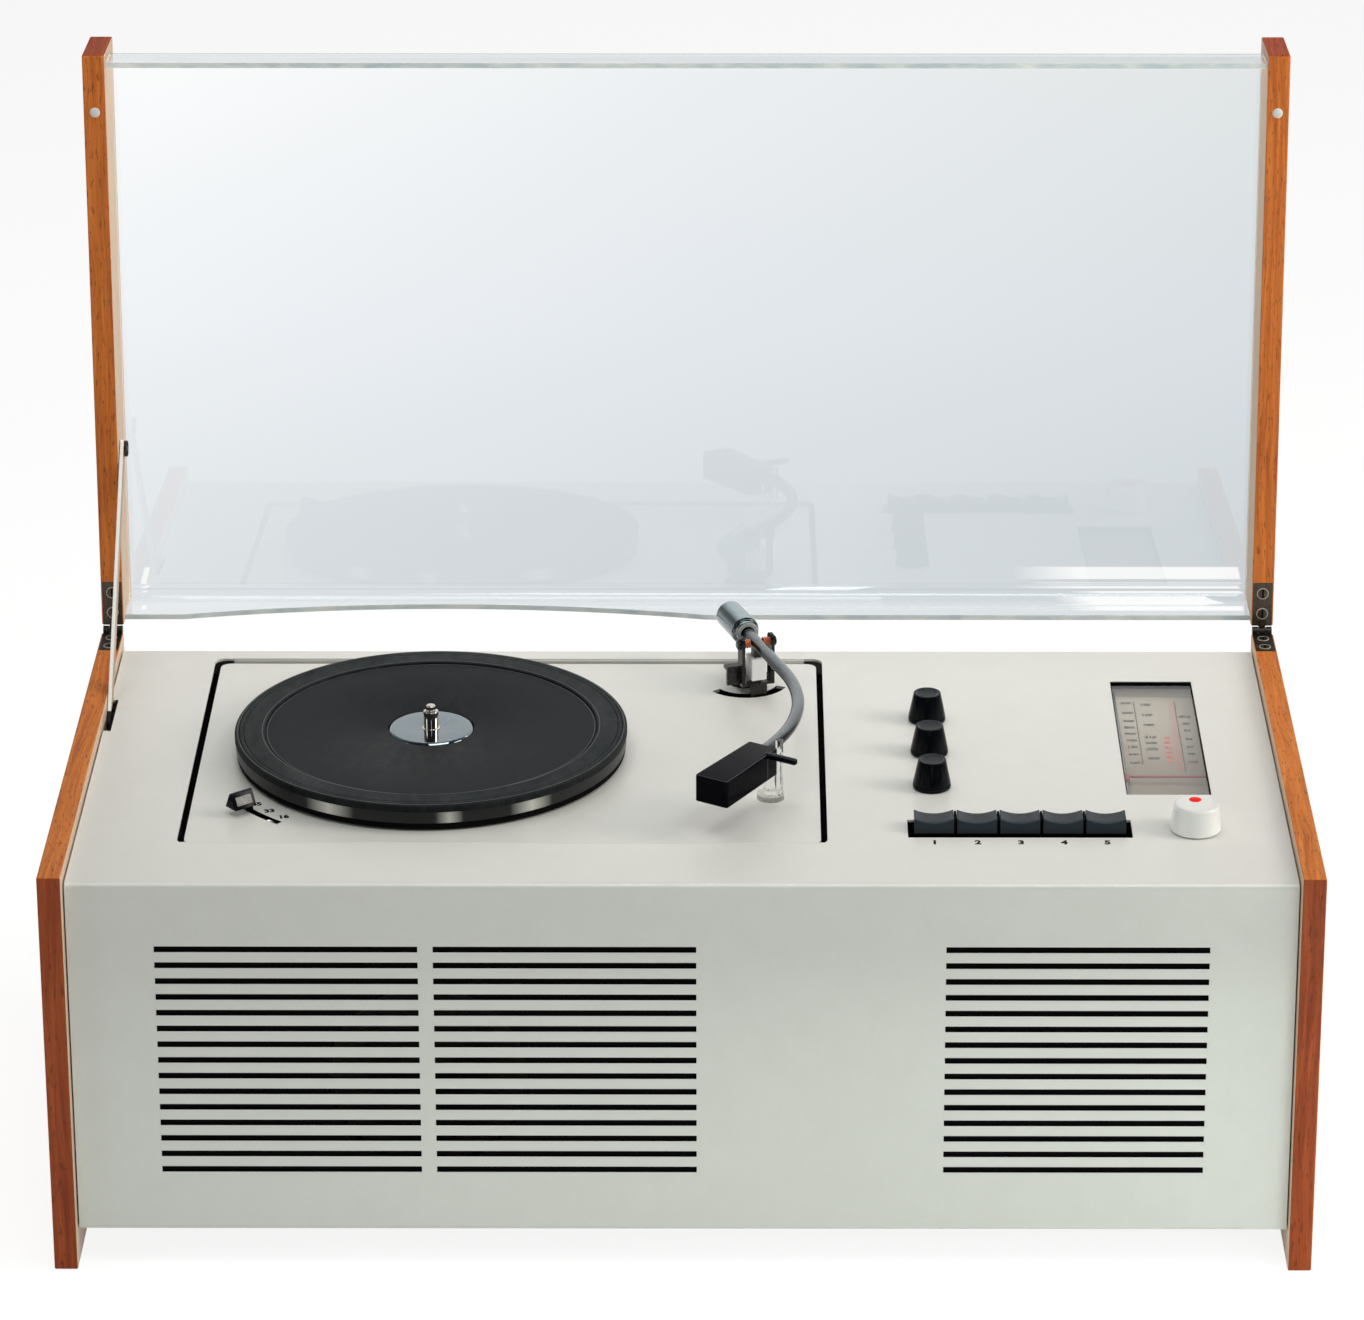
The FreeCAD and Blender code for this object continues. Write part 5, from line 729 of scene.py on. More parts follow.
def turned(profile, steps=96, ribs=0, rib_depth=0.0, ribbed=None):
    """Point = (r cos a, r sin a, h) for each row (r, h); ribbed rows add rib_depth cos(ribs a) to r."""
    r, h = np.asarray(profile, float).T
    angle = np.linspace(0, 2 * np.pi, steps, endpoint=False)
    wide = np.repeat(r[:, None], steps, axis=1)
    tall = np.repeat(h[:, None], steps, axis=1)
    if ribs:
        wide = wide + np.outer(ribbed, rib_depth * np.cos(ribs * angle))
    points = np.stack((wide * np.cos(angle), wide * np.sin(angle), tall), axis=-1)
    return points.reshape(-1, 3), quads(len(r), steps)


def lofted(rings):
    """Skin over closed rings of equal length, with a flat face on the first and the last."""
    rings = np.asarray(rings, float)
    count, size = rings.shape[:2]
    faces = quads(count, size)
    faces.append(np.arange(size)[::-1].tolist())
    faces.append((np.arange(size) + (count - 1) * size).tolist())
    return rings.reshape(-1, 3), faces


def pressed(outline, *layers):
    """Ring k = outline moved inward along its normals by inset k, at height k; layers hold these pairs."""
    flat = np.asarray(outline, float)
    along = np.roll(flat, -1, axis=0) - np.roll(flat, 1, axis=0)
    inward = np.stack((-along[:, 1], along[:, 0]), axis=1)
    inward = inward / np.maximum(np.linalg.norm(inward, axis=1, keepdims=True), 1e-12)
    inset, height = np.asarray(layers, float).T
    plan = flat[None] + inward[None] * inset[:, None, None]
    lift = np.broadcast_to(height[:, None, None], (len(height), len(flat), 1))
    return lofted(np.concatenate((plan, lift), axis=2))


def slab(outline, low, high):
    """The outline carried straight up from one height to another."""
    return pressed(outline, (0, low), (0, high))


def swept(path, section):
    """Ring k = path k + a side k + b up, for each section row (a, b); side lies level, across the path."""
    path = np.asarray(path, float)
    ahead = np.gradient(path, axis=0)
    ahead = ahead / np.linalg.norm(ahead, axis=1, keepdims=True)
    side = np.cross(ahead, (0.0, 0.0, 1.0))
    side = side / np.linalg.norm(side, axis=1, keepdims=True)
    up = np.cross(side, ahead)
    a, b = np.asarray(section, float).T
    return lofted(path[:, None] + a[None, :, None] * side[:, None] + b[None, :, None] * up[:, None])


def printed(word, height, thick):
    """Letters of a plain face, set about the origin, height metres high and thick metres proud."""
    text = bpy.data.curves.new("letters", "FONT")
    text.body = word
    text.size = height * FONT_TO_LETTER
    text.align_x, text.align_y = "CENTER", "CENTER"
    text.extrude = thick
    text.offset = INK_SPREAD * height
    text.resolution_u = 3
    holder = bpy.data.objects.new("letters", text)
    scene.collection.objects.link(holder)
    mesh = bpy.data.meshes.new_from_object(holder.evaluated_get(bpy.context.evaluated_depsgraph_get()))
    points = np.zeros(3 * len(mesh.vertices))
    mesh.vertices.foreach_get("co", points)
    faces = [list(face.vertices) for face in mesh.polygons]
    bpy.data.objects.remove(holder)
    bpy.data.meshes.remove(mesh)
    return points.reshape(-1, 3), faces


print("skin helpers ready")

# %% Placing shapes and making pieces
MERGE_WITHIN = 2e-7


def put_at(shape, place, x_axis=(1, 0, 0), z_axis=(0, 0, 1)):
    """Point = place + x X + y (Z x X) + z Z: the shape's own axes laid along X and Z."""
    points, faces = shape
    x_axis, z_axis = np.asarray(x_axis, float), np.asarray(z_axis, float)
    axes = np.stack((x_axis, np.cross(z_axis, x_axis), z_axis))
    return points @ axes + np.asarray(place), faces


def joined(*shapes):
    """One shape from several: their points in a row, their face numbers moved along."""
    starts = np.cumsum([0] + [len(points) for points, _ in shapes])
    faces = []
    for (_, own), start in zip(shapes, starts.tolist()):
        faces += [[start + corner for corner in face] for face in own]
    return np.concatenate([points for points, _ in shapes]), faces


def opened(shape):
    """A lid piece drawn shut, turned on the hinge line: y' = y cos t + z sin t, z' = z cos t - y sin t."""
    points, faces = shape
    cos, sin = math.cos(LID_TURN), math.sin(LID_TURN)
    y, z = points[:, 1], points[:, 2]
    return np.stack((points[:, 0], y * cos + z * sin, z * cos - y * sin), axis=1) + HINGE, faces


def piece(name, shape, body, slot, look=None, stands_for=(), crease=38):
    """A mesh from the shape: poles and seams merged, faces outward, edges over crease degrees kept sharp."""
    points, faces = shape
    mesh = bpy.data.meshes.new(name)
    mesh.from_pydata(points.tolist(), [], faces)
    work = bmesh.new()
    work.from_mesh(mesh)
    bmesh.ops.remove_doubles(work, verts=work.verts, dist=MERGE_WITHIN)
    bmesh.ops.recalc_face_normals(work, faces=work.faces)
    work.to_mesh(mesh)
    work.free()
    mesh.shade_smooth()
    mesh.set_sharp_from_angle(angle=math.radians(crease))
    mesh.materials.append(look or FINISHES[slot])
    made = bpy.data.objects.new(name, mesh)
    scene.collection.objects.link(made)
    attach(made, body)
    if stands_for:
        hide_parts(*stands_for)
    print(f"{name}: {len(mesh.vertices)} points, {len(mesh.polygons)} faces")


print("placing helpers ready")

# %% [markdown]
# ## Platter, mat, centre disc and spindle
#
# All four are turned on a lathe on the real thing. Spin or Screw could turn them here; one profile of
# radius and height carried once round the axis is the same thing as a single array. The mat is moulded
# rubber: a plain field, a raised ring for the record's edge, and fine ribs round its outer wall.

# %% Platter
axis = np.array((PLATTER[0], PLATTER[1], DECK))
rim = lathe(
    (5.0, 3.4, 0), (14.0, 3.4, 0.4), (14.0, 9.2, 1), (90.8, 9.2, 1), (90.8, 4.0, 0.4), (93.0, 4.0, 0.5),
    (93.0, 12.2, 0.5), (90.8, 12.2, 0.4), (90.8, 10.7, 0.2), (5.0, 10.7, 0.2), (5.0, 3.4, 0))
piece("turned_platter", put_at(turned(rim, 256), axis), "platter", "bright_steel", RIM_STEEL, ["platter"])

# %% Mat
MAT_RIBS, RIB_DEPTH, RIB_INSIDE = 270, 0.06 * MM, 93.2 * MM
field = mm(
    (20.7, 10.75), (90.35, 10.75), (90.35, 12.25), (93.05, 12.25), (93.05, 9.9), (93.5, 9.9), (93.5, 12.7),
    (92.9, 13.4), (91.6, 13.4), (91.4, 13.0), (91.2, 13.4), (89.4, 13.4), (89.2, 13.0), (89.0, 13.4),
    (80.2, 13.4), (79.4, 12.9), (79.2, 11.9), (78.6, 11.9), (78.4, 12.4), (21.6, 12.4), (20.7, 12.0),
    (20.7, 10.75))
outer_wall = (field[:, 0] > RIB_INSIDE).astype(float)
mat = turned(field, 4 * MAT_RIBS, MAT_RIBS, RIB_DEPTH, outer_wall)
piece("rubber_mat", put_at(mat, axis), "platter", "black_rubber", stands_for=["platter_mat"], crease=25)

# %% Painted highlight lines on the mat, and a black lip below the rim, painted shade
highlight_rings = [turned(mm((r, h), (r + 0.3, h), (r + 0.3, h + 0.06), (r, h + 0.06), (r, h)), 256)
        for r, h in ((80.3, 13.36), (78.0, 12.36), (92.0, 13.36))]
piece("mat_edge_lines", put_at(joined(*highlight_rings), axis), "platter", "black_rubber", HIGHLIGHT_EDGE)
# The black lip below the rim is painted shade: it keeps the gap under the platter dark.
lip = lathe(
    (89.0, 0.7, 0), (91.9, 0.7, 0.5), (92.7, 1.6, 0.5), (92.7, 4.2, 0.2), (89.0, 4.2, 0), (89.0, 0.7, 0))
lip = put_at(turned(lip, 256), axis)
piece("dark_platter_lip", lip, "platter", "black_rubber", FINISHES["baffle_board"])

# %% Centre disc and spindle
disc = lathe(
    (4.25, 10.75, 0), (20.3, 10.75, 0.1), (20.3, 11.7, 0.3), (19.3, 12.8, 0.5), (4.25, 12.8, 0.2),
    (4.25, 10.75, 0))
piece("centre_cap", put_at(turned(disc, 128), axis), "platter", "bright_steel", DISC_STEEL, ["centre_disc"])
pin = lathe(
    (0.0, -40.0, 0), (5.0, -40.0, 0.5), (5.0, 10.7, 0.2), (4.2, 10.7, 0.2), (4.2, 12.8, 0.1),
    (3.6, 12.9, 0.1), (3.6, 21.2, 0.3), (2.3, 22.0, 0.2), (2.2, 23.8, 0.2), (1.7, 24.3, 0.2), (0.0, 24.3, 0))
piece("record_spindle", put_at(turned(pin, 64), axis), "platter", "chrome", PIN_STEEL, ["spindle"])

# %% [markdown]
# ## Knobs
#
# Three moulded black cones with a groove above the foot and a shallow hollow on top, and one white tuning
# knob with a red spot. A cone with a bevel would pass from afar, but the groove and the hollow catch the
# light, so each is turned from its whole profile, with its shaft below the casing.

# %% Three control knobs
foot = (corners("bass_knob")[0][2] - TOP) / MM
cone = lathe(
    (0.0, foot, 0), (3.0, foot, 0.3), (3.0, 0.4, 0), (9.0, 0.4, 0.3), (9.0, 1.7, 0.25), (8.2, 1.85, 0.1),
    (8.2, 2.3, 0.1), (8.95, 2.45, 0.25), (6.5, 14.4, 0.5), (5.5, 14.4, 0.3), (4.9, 13.95, 0.3),
    (0.0, 13.85, 0))
for name in ("treble_knob", "bass_knob", "volume_knob"):
    spot = centre(name)
    spot[2] = TOP
    piece("moulded_" + name, put_at(turned(cone, 96), spot), name, "black_plastic", stands_for=[name])

# %% Tuning knob
foot = (corners("tuning_knob")[0][2] - TOP) / MM
bell = lathe(
    (0.0, foot, 0), (3.0, foot, 0.3), (3.0, 0.4, 0), (11.5, 0.4, 0.1), (11.8, 0.9, 0.25), (10.3, 13.5, 1.6),
    (0.0, 13.5, 0), steps=8)
spot = centre("tuning_knob")
spot[2] = TOP
bell = put_at(turned(bell, 128), spot)
piece("white_tuning_knob", bell, "tuning_knob", "white_plastic", stands_for=["tuning_knob"])
dot = pressed(ring(2.9 * MM, 40), (0, -0.05 * MM), *soft_edge(0.02 * MM, 0.0, 3))
piece("red_tuning_spot", put_at(dot, spot + mm(-0.3, 3.6, 13.56)), "tuning_knob", "red_paint")

# %% [markdown]
# ## Keys
#
# Five moulded press keys stand in one slot. Each top is hollowed from side to side for a fingertip, the
# front leans back, and the edges are softened. Sculpting would give the same form, but here the top is a
# grid whose height comes from a formula, so all five are alike; the walls drop from the grid's own border,
# and a stem goes down into the key frame.

# %% Five keys
KEY_COLUMNS, KEY_ROWS = 49, 33


def key_shape(half, front, rear, top, low, front_lean, rear_lean, dish, edge):
    """z = top - dish (1 - (x/half)^2) - drop; drop = e - sqrt(e^2 - (e - d)^2) within e of the border."""
    u = np.sin(np.linspace(-1, 1, KEY_COLUMNS) * np.pi / 2)
    v = (1 + np.sin(np.linspace(-1, 1, KEY_ROWS) * np.pi / 2)) / 2
    x, share = np.meshgrid(half * u, v, indexing="ij")
    y = front + front_lean + share * (rear - rear_lean - front - front_lean)
    inner = np.minimum(half - np.abs(x), np.minimum(y - y.min(), y.max() - y))
    near = np.clip(edge - inner, 0, edge)
    z = top - dish * (1 - (x / half) ** 2) - (edge - np.sqrt(edge ** 2 - near ** 2))
    grid = np.stack((x, y, z), axis=-1)
    border = np.concatenate((grid[:-1, 0], grid[-1, :-1], grid[:0:-1, -1], grid[0, :0:-1]))
    foot = border.copy()
    foot[:, 1] = front + (border[:, 1] - y.min()) / (y.max() - y.min()) * (rear - front)
    foot[:, 2] = low
    points, faces = lofted(np.stack((foot, border)))
    return joined((grid.reshape(-1, 3), quads(*x.shape, around=False)), (points, faces[:-1]))


KEYS = [f"key_{number}" for number in range(1, 6)]
KEY_SKIRT, KEY_GAP = 9.0 * MM, 0.35 * MM
FRONT_LEAN, REAR_LEAN, DISH, KEY_EDGE = mm(1.8, 0.9, 2.0, 0.6)
for name in KEYS:
    low, high = corners(name)
    middle, depth = ((low + high) / 2)[:2]
    half = (high[0] - low[0]) / 2 - KEY_GAP
    skirt = TOP - KEY_SKIRT
    cap = key_shape(half, low[1], high[1], high[2], skirt, FRONT_LEAN, REAR_LEAN, DISH, KEY_EDGE)
    stem = slab(block(-3 * MM, 3 * MM, depth - 1.5 * MM, depth + 1.5 * MM, 0.3 * MM), low[2], skirt)
    key = put_at(joined(cap, stem), (middle, 0, 0))
    piece(f"hollowed_{name}", key, name, "black_plastic", KEY_BLACK, [name])

# %% Black plates between and behind the keys: painted shade in the gaps
low, high = corners(KEYS[0])[0], corners(KEYS[-1])[1]
back = block(low[0] - 4 * MM, high[0] + 9 * MM, high[1] + 2.7 * MM, high[1] + 3.4 * MM, 0.1 * MM)
plates = [slab(back, TOP - 18 * MM, TOP - 1.25 * MM)]
for left, right in zip(KEYS, KEYS[1:]):
    middle = (corners(left)[1][0] + corners(right)[0][0]) / 2
    plate = block(middle - 0.55 * MM, middle + 0.55 * MM, low[1] + 2.2 * MM, high[1] - 1.2 * MM, 0.1 * MM)
    plates.append(slab(plate, TOP - 8 * MM, TOP + 6.2 * MM))
piece("key_partitions", joined(*plates), "cabinet", "baffle_board")

# %% [markdown]
# ## Tone arm
#
# A steel tube runs straight through the gimbal and then bends once toward the spindle. Behind it is a
# turned chrome counterweight; a blued saddle and a white block hold the tube between two pivots in copper
# coils. A curve with a round bevel would make the tube too, but sweeping a circle along worked-out points
# gives its end and direction, which the headshell needs. The headshell is hollow underneath and has a seam
# where its rear cap meets the shell.

# %% Arm directions
ARM_ANGLE = math.radians(-70.2)
FORWARD = np.array((math.cos(ARM_ANGLE), math.sin(ARM_ANGLE), 0.0))
ASIDE = np.array((-FORWARD[1], FORWARD[0], 0.0))
PIVOT = np.array((GIMBAL[0], GIMBAL[1], DECK + 26.5 * MM))
BEND = math.radians(51.5)
TUBE_START, STRAIGHT, BEND_RADIUS, TUBE = mm(-12.0, 38.8, 110.8, 3.0)
print("pivot", np.round(PIVOT / MM, 2), "arm points", np.round(FORWARD, 3))

# %% Arm tube
turn = np.linspace(0, BEND, 72)
line = np.linspace(TUBE_START, STRAIGHT, 6)[:-1]
ahead_by = np.concatenate((line, STRAIGHT + BEND_RADIUS * np.sin(turn)))
aside_by = np.concatenate((0 * line, -BEND_RADIUS * (1 - np.cos(turn))))
path = PIVOT + ahead_by[:, None] * FORWARD + aside_by[:, None] * ASIDE
piece("bent_arm_tube", swept(path, ring(TUBE, 40)), "tonearm", "bright_steel", stands_for=["arm_tube"])
TUBE_END = path[-1]
SHELL_WAY = FORWARD * math.cos(BEND) - ASIDE * math.sin(BEND)

# %% Counterweight
weight = lathe(
    (0.0, 14.0, 0), (3.6, 14.0, 0.2), (3.6, 12.2, 0.2), (5.5, 12.2, 0.1), (5.8, 12.6, 0.1), (5.8, 15.2, 0.1),
    (6.5, 15.3, 0.2), (7.0, 15.9, 0.2), (7.0, 38.6, 0.4), (6.0, 39.6, 0.4), (0.0, 39.6, 0))
weight = put_at(turned(weight, 96), PIVOT, ASIDE, -FORWARD)
piece("turned_counterweight", weight, "tonearm", "chrome", stands_for=["counterweight"])
face = lathe((3.6, 12.25, 0), (3.6, 12.0, 0.05), (5.4, 12.0, 0.05), (5.55, 12.25, 0), (3.6, 12.25, 0))
face = put_at(turned(face, 96), PIVOT, ASIDE, -FORWARD)
piece("faced_weight_ring", face, "tonearm", "chrome", WEIGHT_FACE)

# %% Saddle, white block and pivots
saddle = slab(block_mm(-2.6, 2.6, -1.9, 1.9, 0.5), -7.2 * MM, -2.2 * MM)
piece("arm_saddle", put_at(saddle, PIVOT, FORWARD), "tonearm", "white_plastic", FINISHES["yoke_steel"])
body_plan = block_mm(-4.5, 4.5, -3.85, 3.85, 0.6)
arm_body = pressed(body_plan, *soft_foot(0.4 * MM, -18.4 * MM), *soft_edge(0.4 * MM, -7.0 * MM))
arm_body = put_at(arm_body, PIVOT, FORWARD)
piece("white_arm_block", arm_body, "tonearm", "white_plastic", stands_for=["arm_block"])
far = np.linspace(3.4, 8.3, 60)
coil = np.stack((2.0 + 0.3 * np.cos(2 * np.pi * far / 1.2), far), axis=1)
coil = turned(mm((0.0, 3.3), *coil, (0.0, 8.4)), 48)
button = lathe((0.0, 8.3, 0), (2.6, 8.42, 0.1), (2.6, 9.5, 0.3), (2.0, 10.0, 0.3), (0.0, 10.0, 0))
button = turned(button, 48)
coils, heads = (joined(*[put_at(shape, PIVOT, FORWARD, way) for way in (ASIDE, -ASIDE)])
                for shape in (coil, button))
piece("pivot_coils", coils, "arm_yoke", "copper", stands_for=["arm_pivots"])
piece("pivot_heads", heads, "arm_yoke", "yoke_steel")

# %% Arm post
foot = (corners("arm_post")[0][2] - DECK) / MM
post = lathe(
    (0.0, foot, 0), (4.0, foot, 0.2), (4.0, 0.0, 0), (9.0, 0.0, 0.1), (9.0, 1.5, 0.4), (6.5, 1.6, 0.2),
    (6.5, 4.7, 0.4), (4.0, 4.7, 0.1), (4.0, 9.0, 0.6), (0.0, 9.0, 0))
post = put_at(turned(post, 80), (ARM[0], ARM[1], DECK))
piece("turned_arm_post", post, "cabinet", "bright_steel", stands_for=["arm_post"])

# %% Headshell and finger lift
SHELL_TOP, SHELL_LOW, SHELL_WALL, SHELL_BREAK = mm(3.4, 3.4 - 13.3, 1.6, 0.2)
plan = rounded(mm((0, -7.8), (46.4, -8.8), (46.4, 8.8), (0, 7.8)), 1.6 * MM, 8, True)
hollow = ((SHELL_WALL, SHELL_TOP - SHELL_WALL), (SHELL_WALL, SHELL_LOW),
          (SHELL_BREAK, SHELL_LOW), (0, SHELL_LOW + SHELL_BREAK))
shell = pressed(plan, *hollow, *soft_edge(0.8 * MM, SHELL_TOP, 6))
bar = slab(block_mm(2, 20, -4, 4, 0.5), -1.2 * MM, 1.3 * MM)
shell = put_at(joined(shell, bar), TUBE_END, SHELL_WAY)
piece("moulded_headshell", shell, "tonearm", "black_plastic", SHELL_BLACK, ["headshell"])
# The seam is a thin plate whose pale edges are a painted highlight.
seam = slab(block_mm(9.2, 9.6, -8.12, 8.12, 0.1), SHELL_LOW + SHELL_BREAK, SHELL_TOP - SHELL_WALL)
piece("headshell_seam", put_at(seam, TUBE_END, SHELL_WAY), "tonearm", "black_plastic", HIGHLIGHT_EDGE)
lift_low, lift_high = (corner[2] for corner in corners("finger_lift"))
rounding = (*soft_foot(0.9 * MM, lift_low + 1.2 * MM), *soft_edge(0.9 * MM, lift_high + 2.8 * MM))
lift = pressed(block_mm(-1.6, 1.6, 6, 23.2, 1.5), *rounding)
lift = put_at(lift, TUBE_END * (1, 1, 0) + 8.5 * MM * SHELL_WAY, SHELL_WAY)
piece("finger_lift_blade", lift, "tonearm", "black_plastic", stands_for=["finger_lift"])

# %% [markdown]
# ## Lid sheet
#
# One sheet of acrylic, heated along two lines and bent: a front lip, a roof and a rear lip. The rear lip
# is cut away in a shallow arch above the deck. A plane with Solidify and Bevel would leave the arch to a
# Boolean; here the section is worked out with the lid shut, carried along its length with the arch added
# to the rear lip, then turned open about the hinge line.

# %% Lid sheet
LID_FRONT, LID_REAR, LID_LIP, LID_ROOF = mm(-289.5, -4.5, 3.5, 31.5)
LID_WALL, LID_BEND, LID_HALF = mm(2.5, 9.5, 280.7)
ARCH_MIDDLE, ARCH_CHORD, ARCH_DEPTH = mm(-121.0, 261.0, 16.0)
LIP_STEPS, BEND_STEPS = 7, 14


def lid_section(inset):
    """Lip, quarter bend, roof, quarter bend, lip; a bend point is corner + R (cos a, sin a)."""
    radius = LID_BEND - inset
    quarter = np.linspace(0, np.pi / 2, BEND_STEPS)
    cos, sin = radius * np.cos(quarter), radius * np.sin(quarter)
    low, high, top = LID_FRONT + inset, LID_REAR - inset, LID_ROOF - inset
    lip = np.linspace(0, 1, LIP_STEPS + 1)[:-1]
    front = np.stack((0 * lip + low, LID_LIP + lip * (top - radius - LID_LIP)), axis=1)
    front_bend = np.stack((low + radius - cos, top - radius + sin), axis=1)
    rear_bend = np.stack((high - radius + sin, top - radius + cos), axis=1)
    rear_lip = top - radius + (lip + 1 / LIP_STEPS) * (LID_LIP - top + radius)
    rear = np.stack((0 * lip + high, rear_lip), axis=1)
    return np.concatenate((front, front_bend, rear_bend, rear))


arch_x = ARCH_MIDDLE + ARCH_CHORD * np.linspace(-0.5, 0.5, 61)
x = np.unique(np.concatenate((np.linspace(-LID_HALF, LID_HALF, 81), arch_x)))
arch_radius = ARCH_CHORD ** 2 / (8 * ARCH_DEPTH) + ARCH_DEPTH / 2
level_x = np.clip(x - ARCH_MIDDLE, -ARCH_CHORD / 2, ARCH_CHORD / 2)
arch = np.sqrt(arch_radius ** 2 - level_x ** 2) - (arch_radius - ARCH_DEPTH)
loops = []
for inset in (0.0, LID_WALL):
    section = np.repeat(lid_section(inset)[None], len(x), axis=0)
    share = np.clip((LID_ROOF - LID_BEND - section[:, :, 1]) / (LID_ROOF - LID_BEND - LID_LIP), 0, 1)
    share[:, :section.shape[1] // 2] = 0
    section[:, :, 1] += share * arch[:, None]
    loops.append(section)
sheet = np.concatenate((loops[0], loops[1][:, ::-1]), axis=1)
points = np.concatenate((np.broadcast_to(x[:, None, None], sheet.shape[:2] + (1,)), sheet), axis=2)
count = loops[0].shape[1]
ends = np.arange(count - 1)
cap = np.stack((ends, ends + 1, 2 * count - 2 - ends, 2 * count - 1 - ends), axis=1)
faces = quads(len(x), 2 * count) + cap.tolist() + (cap + (len(x) - 1) * 2 * count).tolist()
sheet = opened((points.reshape(-1, 3), faces))
piece("bent_lid_sheet", sheet, "lid", "clear_acrylic", stands_for=["lid_sheet"], crease=30)

# %% Sawn edges of the lid sheet
edges = []
for low, lift in ((LID_FRONT, 0 * arch), (LID_REAR - LID_WALL, arch)):
    wide = low + LID_WALL * np.array((0.0, 1.0, 1.0, 0.0))
    tall = LID_LIP + lift[:, None] + mm(-0.12, -0.12, 0.02, 0.02)
    edges.append(lofted(np.stack(np.broadcast_arrays(x[:, None], wide[None], tall), axis=-1)))
piece("sawn_lid_edges", opened(joined(*edges)), "lid", "clear_acrylic", SAWN_EDGE_AND_GLINTS)

# %% [markdown]
# ## Buffers and screws
#
# White rubber buffers sit on the lid's front corners, and slotted screws hold the hinge leaves and the
# stay. A slot could be cut with a Boolean; two half-moon lands with a gap between them look the same and
# leave clean faces.

# %% Lid buffers
LEAF_X, LEAF_FACE = 286.5 * MM, 0.5 * MM
quarter = np.linspace(0, np.pi / 2, 12)
dome = np.stack((2.5 * np.sin(quarter), 0.7 * np.cos(quarter)), axis=1)
dome = turned(mm(*dome, (2.5, -0.2), (0.0, -0.2)), 48)
domes = [put_at(dome, (side * LEAF_X, -265.5 * MM, LEAF_FACE), z_axis=(0, 0, -1)) for side in (-1, 1)]
piece("lid_buffer_domes", opened(joined(*domes)), "lid", "white_rubber", stands_for=["lid_buffers"])

# %% Slotted screws


def slotted_head(radius, proud, slot_wide, slot_deep):
    """Two half-moon lands; the gap between them is the driver slot."""
    angle = np.arccos(slot_wide / 2 / radius)
    curve = np.linspace(-angle, angle, 24)
    moon = radius * np.stack((np.cos(curve), np.sin(curve)), axis=1)
    land = ((0.0, proud - slot_deep), *soft_edge(min(0.12 * MM, slot_deep / 2), proud, 4))
    return joined(pressed(moon, *land), pressed(-moon, *land))


SCREW_STEPS = mm(5.5, 16.0)
LEAF_LENGTH, BASE_LEAF_FACE = mm(25.0, 200.0)
head = slotted_head(*mm(2.5, 0.3, 1.0, 0.28))
# A black disc under each head shows through the slot: painted shade.
shade_disc = slab(ring(2.6 * MM, 40), -0.2 * MM, 0.04 * MM)
edge = turned(mm((2.5, 0.0), (2.5, 0.34), (2.85, 0.34), (2.95, 0.0), (2.5, 0.0)), 48)
base_leaf = corners("base_hinge_leaves")[0][1]
leaves = {"base": ("cabinet", base_leaf, BASE_LEAF_FACE, 1), "lid": ("lid", -LEAF_LENGTH, LEAF_FACE, -1)}
screw_parts = (
    ("hinge_screws", head, None), ("screw_shade_discs", shade_disc, INK_AND_SHADE_BLACK), ("screw_edges", edge, SCREW_RING))
for leaf, (body, start, height, up) in leaves.items():
    places = [(side * LEAF_X, start + far, height) for side in (-1, 1) for far in SCREW_STEPS]
    for kind, shape, look in screw_parts:
        screws = joined(*[put_at(shape, place, z_axis=(0, 0, up)) for place in places])
        piece(f"{leaf}_{kind}", opened(screws) if leaf == "lid" else screws, body, "hinge_metal", look)
spot = centre("stay_pivot")
spot[0] = corners("stay_pivot")[1][0]
button = put_at(slotted_head(*mm(3.6, 0.0, 0.9, 0.3)), spot, (0, 0.6, 0.8), (1, 0, 0))
piece("stay_screw_slot", button, "lid", "hinge_metal")

# %% [markdown]
# ## Folds of the casing, a painted highlight and painted shade
#
# The casing's cut-out has a folded strip behind the deck and a bead before it, and a paler strip on its
# front bend is a painted highlight that makes it shine as one line. Inside, black boards and black edges are
# painted shade that keeps the slots and gaps dark from every side. They could be darkened in a material, but
# a gap only looks deep when there is something dark down in it.

# %% Folded strip and bead round the deck
low, high = corners("deck_plate")
strip = block(low[0] + 6 * MM, high[0] - 6 * MM, high[1] + 1.9 * MM, high[1] + 2.95 * MM, 0.2 * MM)
fold = pressed(strip, (0, TOP - 4.0 * MM), *soft_edge(0.4 * MM, TOP - 0.25 * MM))
piece("cutout_rear_fold", fold, "cabinet", "casing_lacquer")
bead_x = np.array((low[0] - 2 * MM, high[0] + 2 * MM))
bead = bead_x[:, None] * (1, 0, 0) + (0, low[1] - 2.2 * MM, TOP - 0.02 * MM)
half_round = mm((0.7, 0), (0.5, 0.14), (0, 0.2), (-0.5, 0.14), (-0.7, 0))
piece("cutout_front_bead", swept(bead, half_round), "cabinet", "casing_lacquer")

# %% The casing's front bend, with a painted highlight
BEND_OUTSIDE = 2.8 * MM
FRONT = corners("casing")[0][1]
sweep = np.radians(np.linspace(22, 52, 9))
arcs = [radius * np.stack((-np.sin(way), np.cos(way)), axis=1)
        for radius, way in ((BEND_OUTSIDE + 0.03 * MM, sweep), (BEND_OUTSIDE - 0.05 * MM, sweep[::-1]))]
section = np.concatenate(arcs) + (FRONT + BEND_OUTSIDE, TOP - BEND_OUTSIDE)
reach = corners("casing")[1][0] - 0.5 * MM
ends = [np.concatenate((np.full((len(section), 1), at), section), axis=1) for at in (-reach, reach)]
piece("casing_bend_line", lofted(ends), "cabinet", "casing_lacquer", BEND_HIGHLIGHT_LACQUER)

